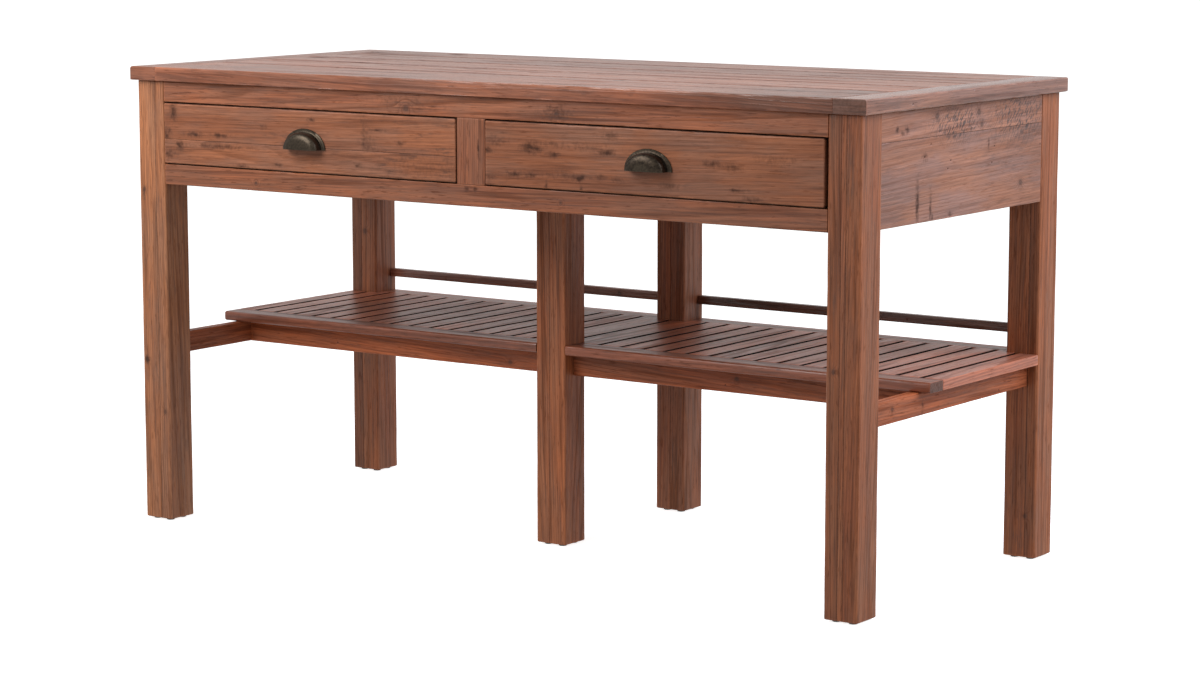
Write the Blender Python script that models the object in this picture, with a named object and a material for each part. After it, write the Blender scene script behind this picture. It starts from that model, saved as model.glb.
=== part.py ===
"""Kitchen island of reclaimed pine: a plank top on six posts, two inset drawers with cup pulls,
and a slatted shelf that is set back from the front.  Metres, +Z up, front towards -Y."""
import math
from collections import defaultdict

import bmesh
import bpy
from mathutils import Matrix, Vector

# Fits
FIT = 0.0003              # gap between wooden faces that meet
RUN_PLAY = 0.0006         # side play of a drawer on its runners

# Posts and their nail-on glides
FRAME_LENGTH = 1.644      # over the outer faces of the corner posts
FRAME_DEPTH = 0.720
POST_W = 0.067
POST_H = 0.8707
POST_EASE = 0.004         # softened long edges
GLIDE_R = 0.008
GLIDE_H = 0.004
GLIDE_INSET = 0.017       # from the post's faces to a glide's centre
GLIDE_SPIKE = 0.006       # how far a glide's shank goes into the post
MID_SETBACK = 0.2435      # front middle post behind the front corner posts

# Plank top with a board across each end
TOP_T = 0.027
TOP_OVERHANG_X = 0.012
TOP_OVERHANG_Y = 0.0085
TOP_PLANKS = 5
TOP_FRONT_PLANK_W = 0.200    # the others share the rest of the depth
TOP_END_W = 0.066
TOP_TONGUE_L = 0.014
TOP_TONGUE_T = 0.009
TOP_TONGUE_EDGE = 0.014   # tongue's shoulder at a plank's long edges
TOP_EASE = 0.004

# Mortise and tenon joints
TENON_L = 0.020
TENON_CHEEK = 0.005       # shoulder on each cheek
TENON_EDGE = 0.007        # shoulder at the upper and lower edge

# Front frame, panels and centre partition
RAIL_T = 0.022
RAIL_SETBACK = 0.001
TOP_RAIL_H = 0.040
OPENING_H = 0.122
BOTTOM_RAIL_H = 0.040
STILE_W = 0.064
STILE_OFFSET = -0.002     # stile stands a little left of the middle
STILE_TENON_L = 0.012
PANEL_T = 0.020
PANEL_H = 0.199
PANEL_SETBACK = 0.002
PARTITION_T = 0.020
BOARD_EASE = 0.002
BATTEN_W = 0.045
BATTEN_H = 0.032

# Slatted shelf
SHELF_Z = 0.390           # top of the deck above the floor
DECK_T = 0.019
DECK_BORDER = 0.048       # front and rear boards that hold the slats
SLATS = 16                # in each bay
SLAT_INNER = 0.078        # from the middle of the island to the first slot
SLAT_END = 0.044          # from the last slot to the end of the shelf
SLOT_W = 0.009
DECK_EASE = 0.002
STRETCHER_T = 0.022
STRETCHER_H = 0.0415
APRON_SETBACK = 0.029     # front apron behind the middle post's face
GALLERY_H = 0.0175
GALLERY_T = 0.014
GALLERY_LIFT = 0.030      # clear height under the gallery rail
GALLERY_SETBACK = 0.006
GALLERY_HOUSING = 0.012

# Drawers
FRONT_GAP = 0.002
FRONT_T = 0.022
FRONT_PROUD = 0.0015
FRONT_EASE = 0.003
SIDE_T = 0.014
SIDE_H = 0.096
SIDE_INSET = 0.014        # side behind the end of the front
SIDE_DADO = 0.008
BOX_DEPTH = 0.450
BACK_T = 0.014
BACK_INSET = 0.012
BOTTOM_T = 0.008
BOTTOM_LIFT = 0.010
GROOVE = 0.006
RUNNER_LEDGE = 0.020
RUNNER_LEDGE_T = 0.018
RUNNER_H = 0.056
STOP_L = 0.025
STOP_H = 0.020

# Cup pulls
PULL_W = 0.101
PULL_H = 0.039
PULL_REACH = 0.025
PULL_FLANGE = 0.011
PULL_PLATE_T = 0.002
PULL_WALL = 0.0018
PULL_DROP = 0.0145        # lower edge of the cup under the middle of the front
PULL_FULLNESS = 2.6       # of the cup's section: 2 is an oval, more is squarer
PULL_STEPS = 24
PULL_ARC = 7

# Colours, linear RGB, with roughness and metallic value
FINISHES = {
    "post": ((0.200, 0.085, 0.050, 1.0), 0.55, 0.0),
    "top": ((0.300, 0.160, 0.115, 1.0), 0.42, 0.0),
    "rail": ((0.230, 0.095, 0.050, 1.0), 0.55, 0.0),
    "front": ((0.270, 0.110, 0.050, 1.0), 0.50, 0.0),
    "panel": ((0.290, 0.150, 0.100, 1.0), 0.62, 0.0),
    "deck": ((0.130, 0.060, 0.045, 1.0), 0.45, 0.0),
    "box": ((0.480, 0.290, 0.160, 1.0), 0.65, 0.0),
    "brass": ((0.095, 0.066, 0.036, 1.0), 0.38, 0.9),
}

# Places worked out from the sizes
X_OUT = FRAME_LENGTH / 2
X_IN = X_OUT - POST_W
Y_FRONT = -FRAME_DEPTH / 2
Y_REAR = FRAME_DEPTH / 2
Y_MID = Y_FRONT + MID_SETBACK
POST_BASE = GLIDE_H
POST_TOP = GLIDE_H + POST_H
HALF_POST = POST_W / 2
RAIL_Y = (Y_FRONT + RAIL_SETBACK, Y_FRONT + RAIL_SETBACK + RAIL_T)
OPENING_TOP = POST_TOP - TOP_RAIL_H
OPENING_LOW = OPENING_TOP - OPENING_H
RAIL_LOW = OPENING_LOW - BOTTOM_RAIL_H
PANEL_LOW = POST_TOP - PANEL_H
BACK_Y = (Y_REAR - PANEL_SETBACK - PANEL_T, Y_REAR - PANEL_SETBACK)
STILE_X = (STILE_OFFSET - STILE_W / 2, STILE_OFFSET + STILE_W / 2)
DECK_LOW = SHELF_Z - DECK_T
STRETCHER_TOP = DECK_LOW - FIT
STRETCHER_LOW = STRETCHER_TOP - STRETCHER_H
FRONT_Y = Y_FRONT - FRONT_PROUD
PLAN_SHIFT = (PULL_REACH + FRONT_PROUD - TOP_OVERHANG_Y) / 2    # centres the outline with its pulls

housings = defaultdict(list)      # piece name -> boxes to be cut out of it
parents = {}


def clear_scene():
    for obj in list(bpy.data.objects):
        bpy.data.objects.remove(obj, do_unlink=True)


def empty(name, location=(0, 0, 0), parent=None):
    obj = bpy.data.objects.new(name, None)
    obj.empty_display_size = 0.05
    obj.location = location
    obj.parent = parent
    bpy.context.scene.collection.objects.link(obj)
    return obj


def finish(obj, kind):
    colour, roughness, metallic = FINISHES[kind]
    material = bpy.data.materials.new(obj.name)
    material.use_nodes = True
    shader = material.node_tree.nodes["Principled BSDF"]
    shader.inputs["Base Color"].default_value = colour
    shader.inputs["Roughness"].default_value = roughness
    shader.inputs["Metallic"].default_value = metallic
    obj.data.materials.append(material)


def to_object(name, bm, parent, kind, location=(0, 0, 0), smooth=False):
    bmesh.ops.recalc_face_normals(bm, faces=bm.faces)
    mesh = bpy.data.meshes.new(name)
    bm.to_mesh(mesh)
    bm.free()
    obj = bpy.data.objects.new(name, mesh)
    obj.location = location
    obj.parent = parent
    bpy.context.scene.collection.objects.link(obj)
    parents[name] = parent
    if kind:
        finish(obj, kind)
    for polygon in mesh.polygons:
        polygon.use_smooth = smooth
    return obj


def add_box(bm, low, high):
    low, high = Vector(low), Vector(high)
    centre = (low + high) / 2
    made = bmesh.ops.create_cube(bm, size=1.0)
    bmesh.ops.scale(bm, vec=high - low, verts=made["verts"])
    bmesh.ops.translate(bm, vec=centre, verts=made["verts"])


def end_face(bm, axis, sign):
    return max(bm.faces, key=lambda face: sign * face.calc_center_median()[axis])


def extrude_face(bm, face):
    """Extrudes a face in place and returns the new face; a lone face stays as the other cap."""
    lone = all(edge.is_boundary for edge in face.edges)
    made = bmesh.ops.extrude_face_region(bm, geom=[face])
    if not lone:
        bmesh.ops.delete(bm, geom=[face], context="FACES_ONLY")
    return next(item for item in made["geom"] if isinstance(item, bmesh.types.BMFace))


def board(name, low, high, grain, kind, parent, ease=BOARD_EASE, tenons=None):
    """A board between two corners, with softened long edges and a tenon on the ends asked for.

    tenons maps an end's sign to (piece it enters, length, cheek shoulder, edge shoulder).  The
    cheeks lie across the board's thickness, which is the smaller side of its section."""
    low, high = Vector(low), Vector(high)
    size = high - low
    centre = (low + high) / 2
    bm = bmesh.new()
    add_box(bm, -size / 2, size / 2)
    if ease:
        long_edges = [edge for edge in bm.edges
                      if abs(edge.verts[0].co[grain] - edge.verts[1].co[grain]) > size[grain] / 2]
        bmesh.ops.bevel(bm, geom=long_edges, offset=ease, segments=2, profile=0.5, affect="EDGES")
    across = [axis for axis in range(3) if axis != grain]
    thick = min(across, key=lambda axis: size[axis])
    for sign, (target, length, cheek, edge) in (tenons or {}).items():
        section = [0.0, 0.0, 0.0]
        section[thick] = size[thick] - 2 * cheek
        section[sum(across) - thick] = size[sum(across) - thick] - 2 * edge
        step = Vector((0, 0, 0))
        step[grain] = sign * length
        shrink = Vector([section[axis] / size[axis] if axis != grain else 1.0 for axis in range(3)])
        root_face = end_face(bm, grain, sign)
        if cheek or edge:
            root_face = extrude_face(bm, root_face)
            bmesh.ops.scale(bm, vec=shrink, verts=root_face.verts)
        bmesh.ops.translate(bm, vec=step, verts=extrude_face(bm, root_face).verts)
        tip = centre.copy()
        tip[grain] += sign * size[grain] / 2
        half = Vector(section) / 2
        near, far = tip - half, tip + half
        near[grain] = min(tip[grain], tip[grain] + step[grain]) - FIT
        far[grain] = max(tip[grain], tip[grain] + step[grain]) + FIT
        grow = Vector([0.0 if axis == grain else FIT for axis in range(3)])
        housings[target].append((near - grow, far + grow))
    return to_object(name, bm, parent, kind, centre)


def joint(target, length=TENON_L, cheek=TENON_CHEEK, edge=TENON_EDGE):
    return (target, length, cheek, edge)


def cut_housings():
    """Cuts every mortise, dado and groove that other pieces need, one cutter for each piece."""
    for name, boxes in housings.items():
        bm = bmesh.new()
        for low, high in boxes:
            add_box(bm, low, high)
        cutter = to_object(name + "_housings", bm, parents[name], None)
        cutter.hide_render = True
        cutter.display_type = "WIRE"
        cut = bpy.data.objects[name].modifiers.new("housings", "BOOLEAN")
        cut.operation = "DIFFERENCE"
        cut.solver = "EXACT"
        cut.use_self = True
        cut.object = cutter


def post(name, x, y, root):
    """A square post whose foot carries four round nail-on glides."""
    obj = board(name, (x - HALF_POST, y - HALF_POST, POST_BASE), (x + HALF_POST, y + HALF_POST, POST_TOP),
                2, "post", root, ease=POST_EASE)
    bm = bmesh.new()
    reach = HALF_POST - GLIDE_INSET
    for across in (-reach, reach):
        for along in (-reach, reach):
            place = Matrix.Translation((x + across, y + along, (GLIDE_H + GLIDE_SPIKE) / 2))
            bmesh.ops.create_cone(bm, cap_ends=True, segments=16, radius1=GLIDE_R, radius2=GLIDE_R,
                                  depth=GLIDE_H + GLIDE_SPIKE, matrix=place)
    glides = to_object(name + "_glides", bm, root, None)
    glides.hide_render = True
    glides.display_type = "WIRE"
    fuse = obj.modifiers.new("glides", "BOOLEAN")
    fuse.operation = "UNION"
    fuse.solver = "EXACT"
    fuse.object = glides
    return obj


def make_posts(root):
    far_x, far_y = X_OUT - HALF_POST, Y_REAR - HALF_POST
    post("post_front_left", -far_x, -far_y, root)
    post("post_front_right", far_x, -far_y, root)
    post("post_rear_left", -far_x, far_y, root)
    post("post_rear_right", far_x, far_y, root)
    post("post_middle_front", 0, Y_MID + HALF_POST, root)
    post("post_middle_rear", 0, far_y, root)


def make_top(root):
    """One wide front plank and narrower ones behind it, tongued at both ends into the end boards."""
    low, high = POST_TOP + FIT, POST_TOP + FIT + TOP_T
    half_x = X_OUT + TOP_OVERHANG_X
    half_y = Y_REAR + TOP_OVERHANG_Y
    inner = half_x - TOP_END_W
    cheek = (TOP_T - TOP_TONGUE_T) / 2
    for side, sign in (("left", -1), ("right", 1)):
        xs = sorted((sign * inner, sign * half_x))
        board("top_end_" + side, (xs[0], -half_y, low), (xs[1], half_y, high), 1, "top", root, TOP_EASE)
    first = -half_y + TOP_FRONT_PLANK_W
    pitch = (half_y - first) / (TOP_PLANKS - 1)
    for index in range(TOP_PLANKS):
        front = first + (index - 1) * pitch + FIT / 2 if index else -half_y
        rear = first + index * pitch - (FIT / 2 if index < TOP_PLANKS - 1 else 0)
        tongues = {-1: joint("top_end_left", TOP_TONGUE_L, cheek, TOP_TONGUE_EDGE),
                   1: joint("top_end_right", TOP_TONGUE_L, cheek, TOP_TONGUE_EDGE)}
        board(f"top_plank_{index + 1}", (-inner + FIT, front, low), (inner - FIT, rear, high),
              0, "top", root, BOARD_EASE, tongues)


def make_front_frame(root):
    y0, y1 = RAIL_Y
    ends = {-1: joint("post_front_left"), 1: joint("post_front_right")}
    board("front_top_rail", (-X_IN + FIT, y0, OPENING_TOP), (X_IN - FIT, y1, POST_TOP), 0, "rail", root,
          tenons=ends)
    board("front_bottom_rail", (-X_IN + FIT, y0, RAIL_LOW), (X_IN - FIT, y1, OPENING_LOW), 0, "rail", root,
          tenons=ends)
    ends = {-1: joint("front_bottom_rail", STILE_TENON_L), 1: joint("front_top_rail", STILE_TENON_L)}
    board("centre_stile", (STILE_X[0], y0, OPENING_LOW + FIT), (STILE_X[1], y1, OPENING_TOP - FIT),
          2, "rail", root, tenons=ends)


def make_panels(root):
    """The boards between the posts at both ends and the back, and the partition between the drawers."""
    outer = X_OUT - PANEL_SETBACK
    for side, sign in (("left", -1), ("right", 1)):
        xs = sorted((sign * outer, sign * (outer - PANEL_T)))
        ends = {-1: joint("post_front_" + side), 1: joint("post_rear_" + side)}
        board("end_panel_" + side, (xs[0], Y_FRONT + POST_W + FIT, PANEL_LOW),
              (xs[1], Y_REAR - POST_W - FIT, POST_TOP), 1, "panel", root, tenons=ends)
        xs = sorted((sign * (HALF_POST + FIT), sign * (X_IN - FIT)))
        ends = {sign: joint("post_rear_" + side), -sign: joint("post_middle_rear")}
        board("back_panel_" + side, (xs[0], BACK_Y[0], PANEL_LOW), (xs[1], BACK_Y[1], POST_TOP),
              0, "panel", root, tenons=ends)


def make_partition(root):
    """The partition runs from the stile to the back, through a bridle slot in the front middle post."""
    half = PARTITION_T / 2
    stile_edge = max(OPENING_LOW - PANEL_LOW, TOP_RAIL_H) + TENON_EDGE
    ends = {-1: joint("centre_stile", STILE_TENON_L, edge=stile_edge), 1: joint("post_middle_rear")}
    board("centre_partition", (-half, RAIL_Y[1] + FIT, PANEL_LOW), (half, Y_REAR - POST_W - FIT, POST_TOP),
          1, "box", root, tenons=ends)
    housings["post_middle_front"].append((
        Vector((-half - FIT, Y_MID - POST_W, PANEL_LOW - FIT)),
        Vector((half + FIT, Y_MID + 2 * POST_W, POST_TOP + POST_W))))


def make_battens(root):
    """One batten over each drawer holds the planks flat and keeps the open drawer from tipping."""
    for side, centre in (("left", drawer_centre(-1)), ("right", drawer_centre(1))):
        board("top_batten_" + side, (centre - BATTEN_W / 2, RAIL_Y[1] + FIT, POST_TOP - BATTEN_H),
              (centre + BATTEN_W / 2, BACK_Y[0] - FIT, POST_TOP), 1, "box", root)


def make_shelf_frame(root):
    """Stretchers between the posts at each end and in the middle, and aprons under both long edges."""
    low, high = STRETCHER_LOW, STRETCHER_TOP
    half = STRETCHER_T / 2
    centre = X_OUT - HALF_POST
    apron_y = Y_MID + APRON_SETBACK
    rear_y = Y_REAR - HALF_POST
    for side, sign in (("left", -1), ("right", 1)):
        ends = {-1: joint("post_front_" + side), 1: joint("post_rear_" + side)}
        board("end_stretcher_" + side, (sign * centre - half, Y_FRONT + POST_W + FIT, low),
              (sign * centre + half, Y_REAR - POST_W - FIT, high), 1, "rail", root, tenons=ends)
        xs = sorted((sign * (HALF_POST + FIT), sign * (centre - half - FIT)))
        ends = {-sign: joint("post_middle_front"), sign: joint("end_stretcher_" + side, half)}
        board("front_apron_" + side, (xs[0], apron_y, low), (xs[1], apron_y + STRETCHER_T, high),
              0, "rail", root, tenons=ends)
        xs = sorted((sign * (HALF_POST + FIT), sign * (X_IN - FIT)))
        ends = {-sign: joint("post_middle_rear"), sign: joint("post_rear_" + side)}
        board("rear_apron_" + side, (xs[0], rear_y - half, low), (xs[1], rear_y + half, high),
              0, "rail", root, tenons=ends)
    ends = {-1: joint("post_middle_front"), 1: joint("post_middle_rear")}
    board("middle_stretcher", (-half, Y_MID + POST_W + FIT, low), (half, Y_REAR - POST_W - FIT, high),
          1, "rail", root, tenons=ends)


def make_deck(side, sign, root):
    """One bay of the deck: slats between a front and a rear board, notched round the posts."""
    seam = SLOT_W / 2
    notch = HALF_POST + FIT
    corner = X_IN - FIT
    front_step = Y_MID + POST_W + FIT
    rear_step = Y_REAR - POST_W - FIT
    outline = [(X_OUT, Y_MID), (X_OUT, rear_step), (corner, rear_step), (corner, Y_REAR), (notch, Y_REAR),
               (notch, rear_step), (seam, rear_step), (seam, front_step), (notch, front_step), (notch, Y_MID)]
    bm = bmesh.new()
    base = bm.faces.new([bm.verts.new((sign * x, y, DECK_LOW)) for x, y in outline])
    raised = extrude_face(bm, base)
    bmesh.ops.translate(bm, vec=(0, 0, DECK_T), verts=raised.verts)
    bmesh.ops.bevel(bm, geom=raised.edges, offset=DECK_EASE, segments=1, profile=0.5, affect="EDGES")
    name = "shelf_deck_" + side
    to_object(name, bm, root, "deck")
    slots = SLATS - 1
    pitch = (X_OUT - SLAT_END - SLAT_INNER) / (slots - 1)
    for index in range(slots):
        middle = sign * (SLAT_INNER + index * pitch)
        housings[name].append((
            Vector((middle - SLOT_W / 2, Y_MID + DECK_BORDER, DECK_LOW - DECK_T)),
            Vector((middle + SLOT_W / 2, Y_REAR - DECK_BORDER, SHELF_Z + DECK_T))))


def make_gallery(root):
    """A slim rail behind each bay keeps things from being pushed off the shelf."""
    low = SHELF_Z + GALLERY_LIFT
    rear = Y_REAR - GALLERY_SETBACK
    for side, sign in (("left", -1), ("right", 1)):
        xs = sorted((sign * (HALF_POST + FIT), sign * (X_IN - FIT)))
        ends = {-sign: joint("post_middle_rear", GALLERY_HOUSING, 0, 0),
                sign: joint("post_rear_" + side, GALLERY_HOUSING, 0, 0)}
        board("gallery_rail_" + side, (xs[0], rear - GALLERY_T, low), (xs[1], rear, low + GALLERY_H),
              0, "rail", root, ease=GALLERY_H / 8, tenons=ends)


def front_width():
    """Both drawer fronts have the width that fits the narrower opening."""
    return min(STILE_X[0] + X_IN, X_IN - STILE_X[1]) - 2 * FRONT_GAP


def drawer_centre(sign):
    """Left drawer sits against the left post's gap, right drawer against the stile's gap."""
    left_end = -X_IN if sign < 0 else STILE_X[1]
    return left_end + FRONT_GAP + front_width() / 2


def make_runners(side, sign, root):
    """Two L-shaped runners for each drawer, fixed to the sides of the posts, and a stop on one ledge."""
    centre = drawer_centre(sign)
    side_face = front_width() / 2 - SIDE_INSET
    rear = RAIL_Y[1] + FIT
    back = BACK_Y[0] - FIT
    ledge = OPENING_LOW
    for place, toward in (("outer", sign), ("inner", -sign)):
        wall = sign * (X_IN - FIT) if toward == sign else sign * (HALF_POST + FIT)
        face = centre + toward * (side_face + RUN_PLAY)
        tip = face - toward * RUNNER_LEDGE
        profile = [(wall, ledge - RUNNER_LEDGE_T), (tip, ledge - RUNNER_LEDGE_T), (tip, ledge), (face, ledge),
                   (face, ledge - RUNNER_LEDGE_T + RUNNER_H), (wall, ledge - RUNNER_LEDGE_T + RUNNER_H)]
        bm = bmesh.new()
        section = bm.faces.new([bm.verts.new((x, rear, z)) for x, z in profile])
        bmesh.ops.translate(bm, vec=(0, back - rear, 0), verts=extrude_face(bm, section).verts)
        to_object(f"drawer_runner_{side}_{place}", bm, root, "box")
        if place == "outer":
            start = FRONT_Y + FRONT_T + BOX_DEPTH + FIT
            xs = sorted((face - toward * FIT, tip))
            board("drawer_stop_" + side, (xs[0], start, ledge + FIT), (xs[1], start + STOP_L, ledge + STOP_H),
                  1, "box", root)


def make_drawer(side, sign, root):
    """Drawer box with its bottom in grooves, behind an inset front; local zero is the front's face."""
    name = "drawer_" + side
    slide = empty(name + "_slide", (drawer_centre(sign), FRONT_Y, OPENING_LOW), root)
    half = front_width() / 2
    board(name + "_front", (-half, 0, FRONT_GAP), (half, FRONT_T, OPENING_H - FRONT_GAP), 0, "front", slide,
          ease=FRONT_EASE)
    outer = half - SIDE_INSET
    inner = outer - SIDE_T
    rear = FRONT_T + BOX_DEPTH
    side_top = FIT + SIDE_H
    panel_low = FIT + BOTTOM_LIFT
    panel_top = panel_low + BOTTOM_T
    back_rear = rear - BACK_INSET
    back_front = back_rear - BACK_T
    for wall, face in (("left", -1), ("right", 1)):
        piece = f"{name}_side_{wall}"
        xs = sorted((face * outer, face * inner))
        board(piece, (xs[0], FRONT_T - SIDE_DADO + FIT, FIT), (xs[1], rear, side_top), 1, "box", slide)
        housings[name + "_front"].append((
            Vector((xs[0] - FIT, FRONT_T - SIDE_DADO, -FRONT_GAP)),
            Vector((xs[1] + FIT, FRONT_T + SIDE_DADO, side_top + FIT))))
        xs = sorted((face * (inner - GROOVE), face * (inner + GROOVE + FIT)))
        housings[piece].append((Vector((xs[0], -FRONT_T, panel_low - FIT)),
                                Vector((xs[1], rear + BACK_T, panel_top + FIT))))
        housings[piece].append((Vector((xs[0], back_front - FIT, panel_top)),
                                Vector((xs[1], back_rear + FIT, side_top + GROOVE))))
    housings[name + "_front"].append((
        Vector((-inner, FRONT_T - GROOVE - FIT, panel_low - FIT)),
        Vector((inner, FRONT_T + GROOVE, panel_top + FIT))))
    reach = inner + GROOVE
    board(name + "_back", (-reach, back_front, panel_top + 2 * FIT), (reach, back_rear, side_top),
          0, "box", slide)
    board(name + "_bottom", (-reach, FRONT_T - GROOVE, panel_low), (reach, rear, panel_top),
          0, "box", slide, ease=0)
    make_pull(name + "_pull", (0, -FIT, OPENING_H / 2 - PULL_DROP), slide)


def make_pull(name, location, slide):
    """A cup pull: the section of its cup and flange, spun half a turn and pressed to an oval."""
    cup = PULL_W / 2 - PULL_FLANGE
    reach = PULL_REACH - FIT
    power = 2 / PULL_FULLNESS
    turns = [index / PULL_ARC * math.pi / 2 for index in range(PULL_ARC + 1)]
    arc = [(math.sin(turn) ** power, math.cos(turn) ** power) for turn in turns]
    outer = [(cup * side, PULL_PLATE_T + (reach - PULL_PLATE_T) * out) for side, out in arc]
    flange = [(PULL_W / 2, PULL_PLATE_T), (PULL_W / 2, 0)]
    inner = [((cup - PULL_WALL) * side, (reach - PULL_WALL) * out) for side, out in reversed(arc)]
    bm = bmesh.new()
    verts = [bm.verts.new((across, -out, 0)) for across, out in outer + flange + inner]
    edges = [bm.edges.new(pair) for pair in zip(verts, verts[1:])]
    bmesh.ops.spin(bm, geom=verts + edges, cent=(0, 0, 0), axis=(0, -1, 0), angle=math.pi, steps=PULL_STEPS)
    bmesh.ops.remove_doubles(bm, verts=bm.verts, dist=0.00002)
    rim = [edge for edge in bm.edges if edge.is_boundary]
    bmesh.ops.contextual_create(bm, geom=rim)
    bmesh.ops.scale(bm, vec=(1, 1, PULL_H / (PULL_W / 2)), verts=bm.verts)
    to_object(name, bm, slide, "brass", location, smooth=True)


def main():
    clear_scene()
    root = empty("island", (0, PLAN_SHIFT, 0))
    make_posts(root)
    make_top(root)
    make_front_frame(root)
    make_panels(root)
    make_partition(root)
    make_battens(root)
    make_shelf_frame(root)
    make_gallery(root)
    for side, sign in (("left", -1), ("right", 1)):
        make_deck(side, sign, root)
        make_runners(side, sign, root)
        make_drawer(side, sign, root)
    cut_housings()


main()
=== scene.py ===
# %% [markdown]
# # A kitchen island in reclaimed pine
#
# The construction of this island is finished before the lesson starts: posts, rails, drawers and a
# slatted shelf lie ready as plain solids at their real size. This lesson gives them their looks. Every
# board that shows is rebuilt as a surface with eased, worn edges, and gets the stained and scarred
# finish of old pine. The drawers must still slide, so each new piece rides on the body that its solid
# belongs to.

# %% Load the construction
import math
import zlib

import bpy
import numpy as np
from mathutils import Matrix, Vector


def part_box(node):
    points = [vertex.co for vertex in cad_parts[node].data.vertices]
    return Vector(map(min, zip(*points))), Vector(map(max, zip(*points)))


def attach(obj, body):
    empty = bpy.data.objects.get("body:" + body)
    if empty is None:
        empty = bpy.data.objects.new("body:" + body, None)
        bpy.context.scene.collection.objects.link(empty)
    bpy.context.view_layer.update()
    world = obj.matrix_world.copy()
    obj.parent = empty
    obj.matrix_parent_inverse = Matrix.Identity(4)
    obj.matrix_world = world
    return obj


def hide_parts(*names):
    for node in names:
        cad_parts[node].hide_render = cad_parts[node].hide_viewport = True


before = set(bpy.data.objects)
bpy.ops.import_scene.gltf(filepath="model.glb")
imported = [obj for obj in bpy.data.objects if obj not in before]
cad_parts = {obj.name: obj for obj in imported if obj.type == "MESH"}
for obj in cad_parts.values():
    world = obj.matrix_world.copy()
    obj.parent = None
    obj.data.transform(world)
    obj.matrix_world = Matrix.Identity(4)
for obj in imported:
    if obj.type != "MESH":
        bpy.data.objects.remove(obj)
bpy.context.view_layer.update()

# %% [markdown]
# ## The camera
#
# The photograph was taken from the right of the drawer side, a little above the worktop, with a long
# lens that keeps the legs nearly parallel. The camera goes in first, because every later choice is
# judged through it. A free-hand placing by eye would do, but the island's own corners give the place
# and the lens exactly, so they are written down.

# %% Camera at the photograph's angle
CAMERA_PLACE = (3.54241, -4.99394, 1.2716)
CAMERA_TURN = math.radians(35.045)       # towards the right end, from straight in front
CAMERA_DIP = math.radians(8.189)         # how far it looks down
CAMERA_LENS = 96.339                     # millimetres
CAMERA_SENSOR = 36                       # millimetres wide

camera_data = bpy.data.cameras.new("photo_camera")
camera_data.lens = CAMERA_LENS
camera_data.sensor_width = CAMERA_SENSOR
camera = bpy.data.objects.new("photo_camera", camera_data)
camera.location = CAMERA_PLACE
camera.rotation_euler = (math.pi / 2 - CAMERA_DIP, 0, CAMERA_TURN)
bpy.context.scene.collection.objects.link(camera)
bpy.context.scene.camera = camera
print("camera:", CAMERA_PLACE, "lens", CAMERA_LENS)

# %% [markdown]
# ## Irregularity
#
# Nothing on old timber repeats. Edges are rubbed more in one place than in another, and stains fade
# unevenly. A table of random heights on a grid, blended smoothly between its points, gives that: it is
# quick for whole arrays, and a fixed seed makes it the same each time.

# %% Smooth noise for whole arrays
NOISE_SIDE = 64          # the table of heights repeats after this many points


def smooth_noise(x, y, seed):
    """Random heights from 0 to 1 at whole numbers of x and y, blended by 3f*f - 2f*f*f of the fractions."""
    table = np.random.default_rng(seed).random((NOISE_SIDE, NOISE_SIDE))
    column, row = np.floor(x).astype(int), np.floor(y).astype(int)
    fx, fy = x - column, y - row
    fx, fy = fx * fx * (3 - 2 * fx), fy * fy * (3 - 2 * fy)
    column, row = column % NOISE_SIDE, row % NOISE_SIDE
    next_column, next_row = (column + 1) % NOISE_SIDE, (row + 1) % NOISE_SIDE
    near = table[column, row] * (1 - fx) + table[next_column, row] * fx
    far = table[column, next_row] * (1 - fx) + table[next_column, next_row] * fx
    return near * (1 - fy) + far * fy


def seed_of(word):
    """A fixed number for a piece's name, so that each board has its own wood in every run."""
    return zlib.crc32(word.encode()) % 100000


trial_noise = smooth_noise(np.linspace(0, 9, 50), 0.0, 1).round(2)
print("noise between", trial_noise.min(), "and", trial_noise.max())

# %% [markdown]
# ## The section of a board
#
# A planed board is a rectangle in section, and its four arrises are broken with a plane or sandpaper so
# they don't splinter. A bevel modifier on a box gives that too, but a section that is walked point by
# point can be finer where a board has a glue line or a nail hole, and it knows which of its points lie
# on an edge, where the stain wears off and a paler highlight is painted.

# %% The section
QUARTER_TURN = np.linspace(0, np.pi / 2, 4)      # an arris is a quarter circle in three steps
RUB_HIGHLIGHT_REACH = 0.002                                # wear and a painted highlight reach this far past an arris
ARC_CLEAR = 1e-4                                 # points on a flat face keep this far from an arc
HIDDEN_STEP = 2                                  # the lower face needs only every second point


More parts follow.
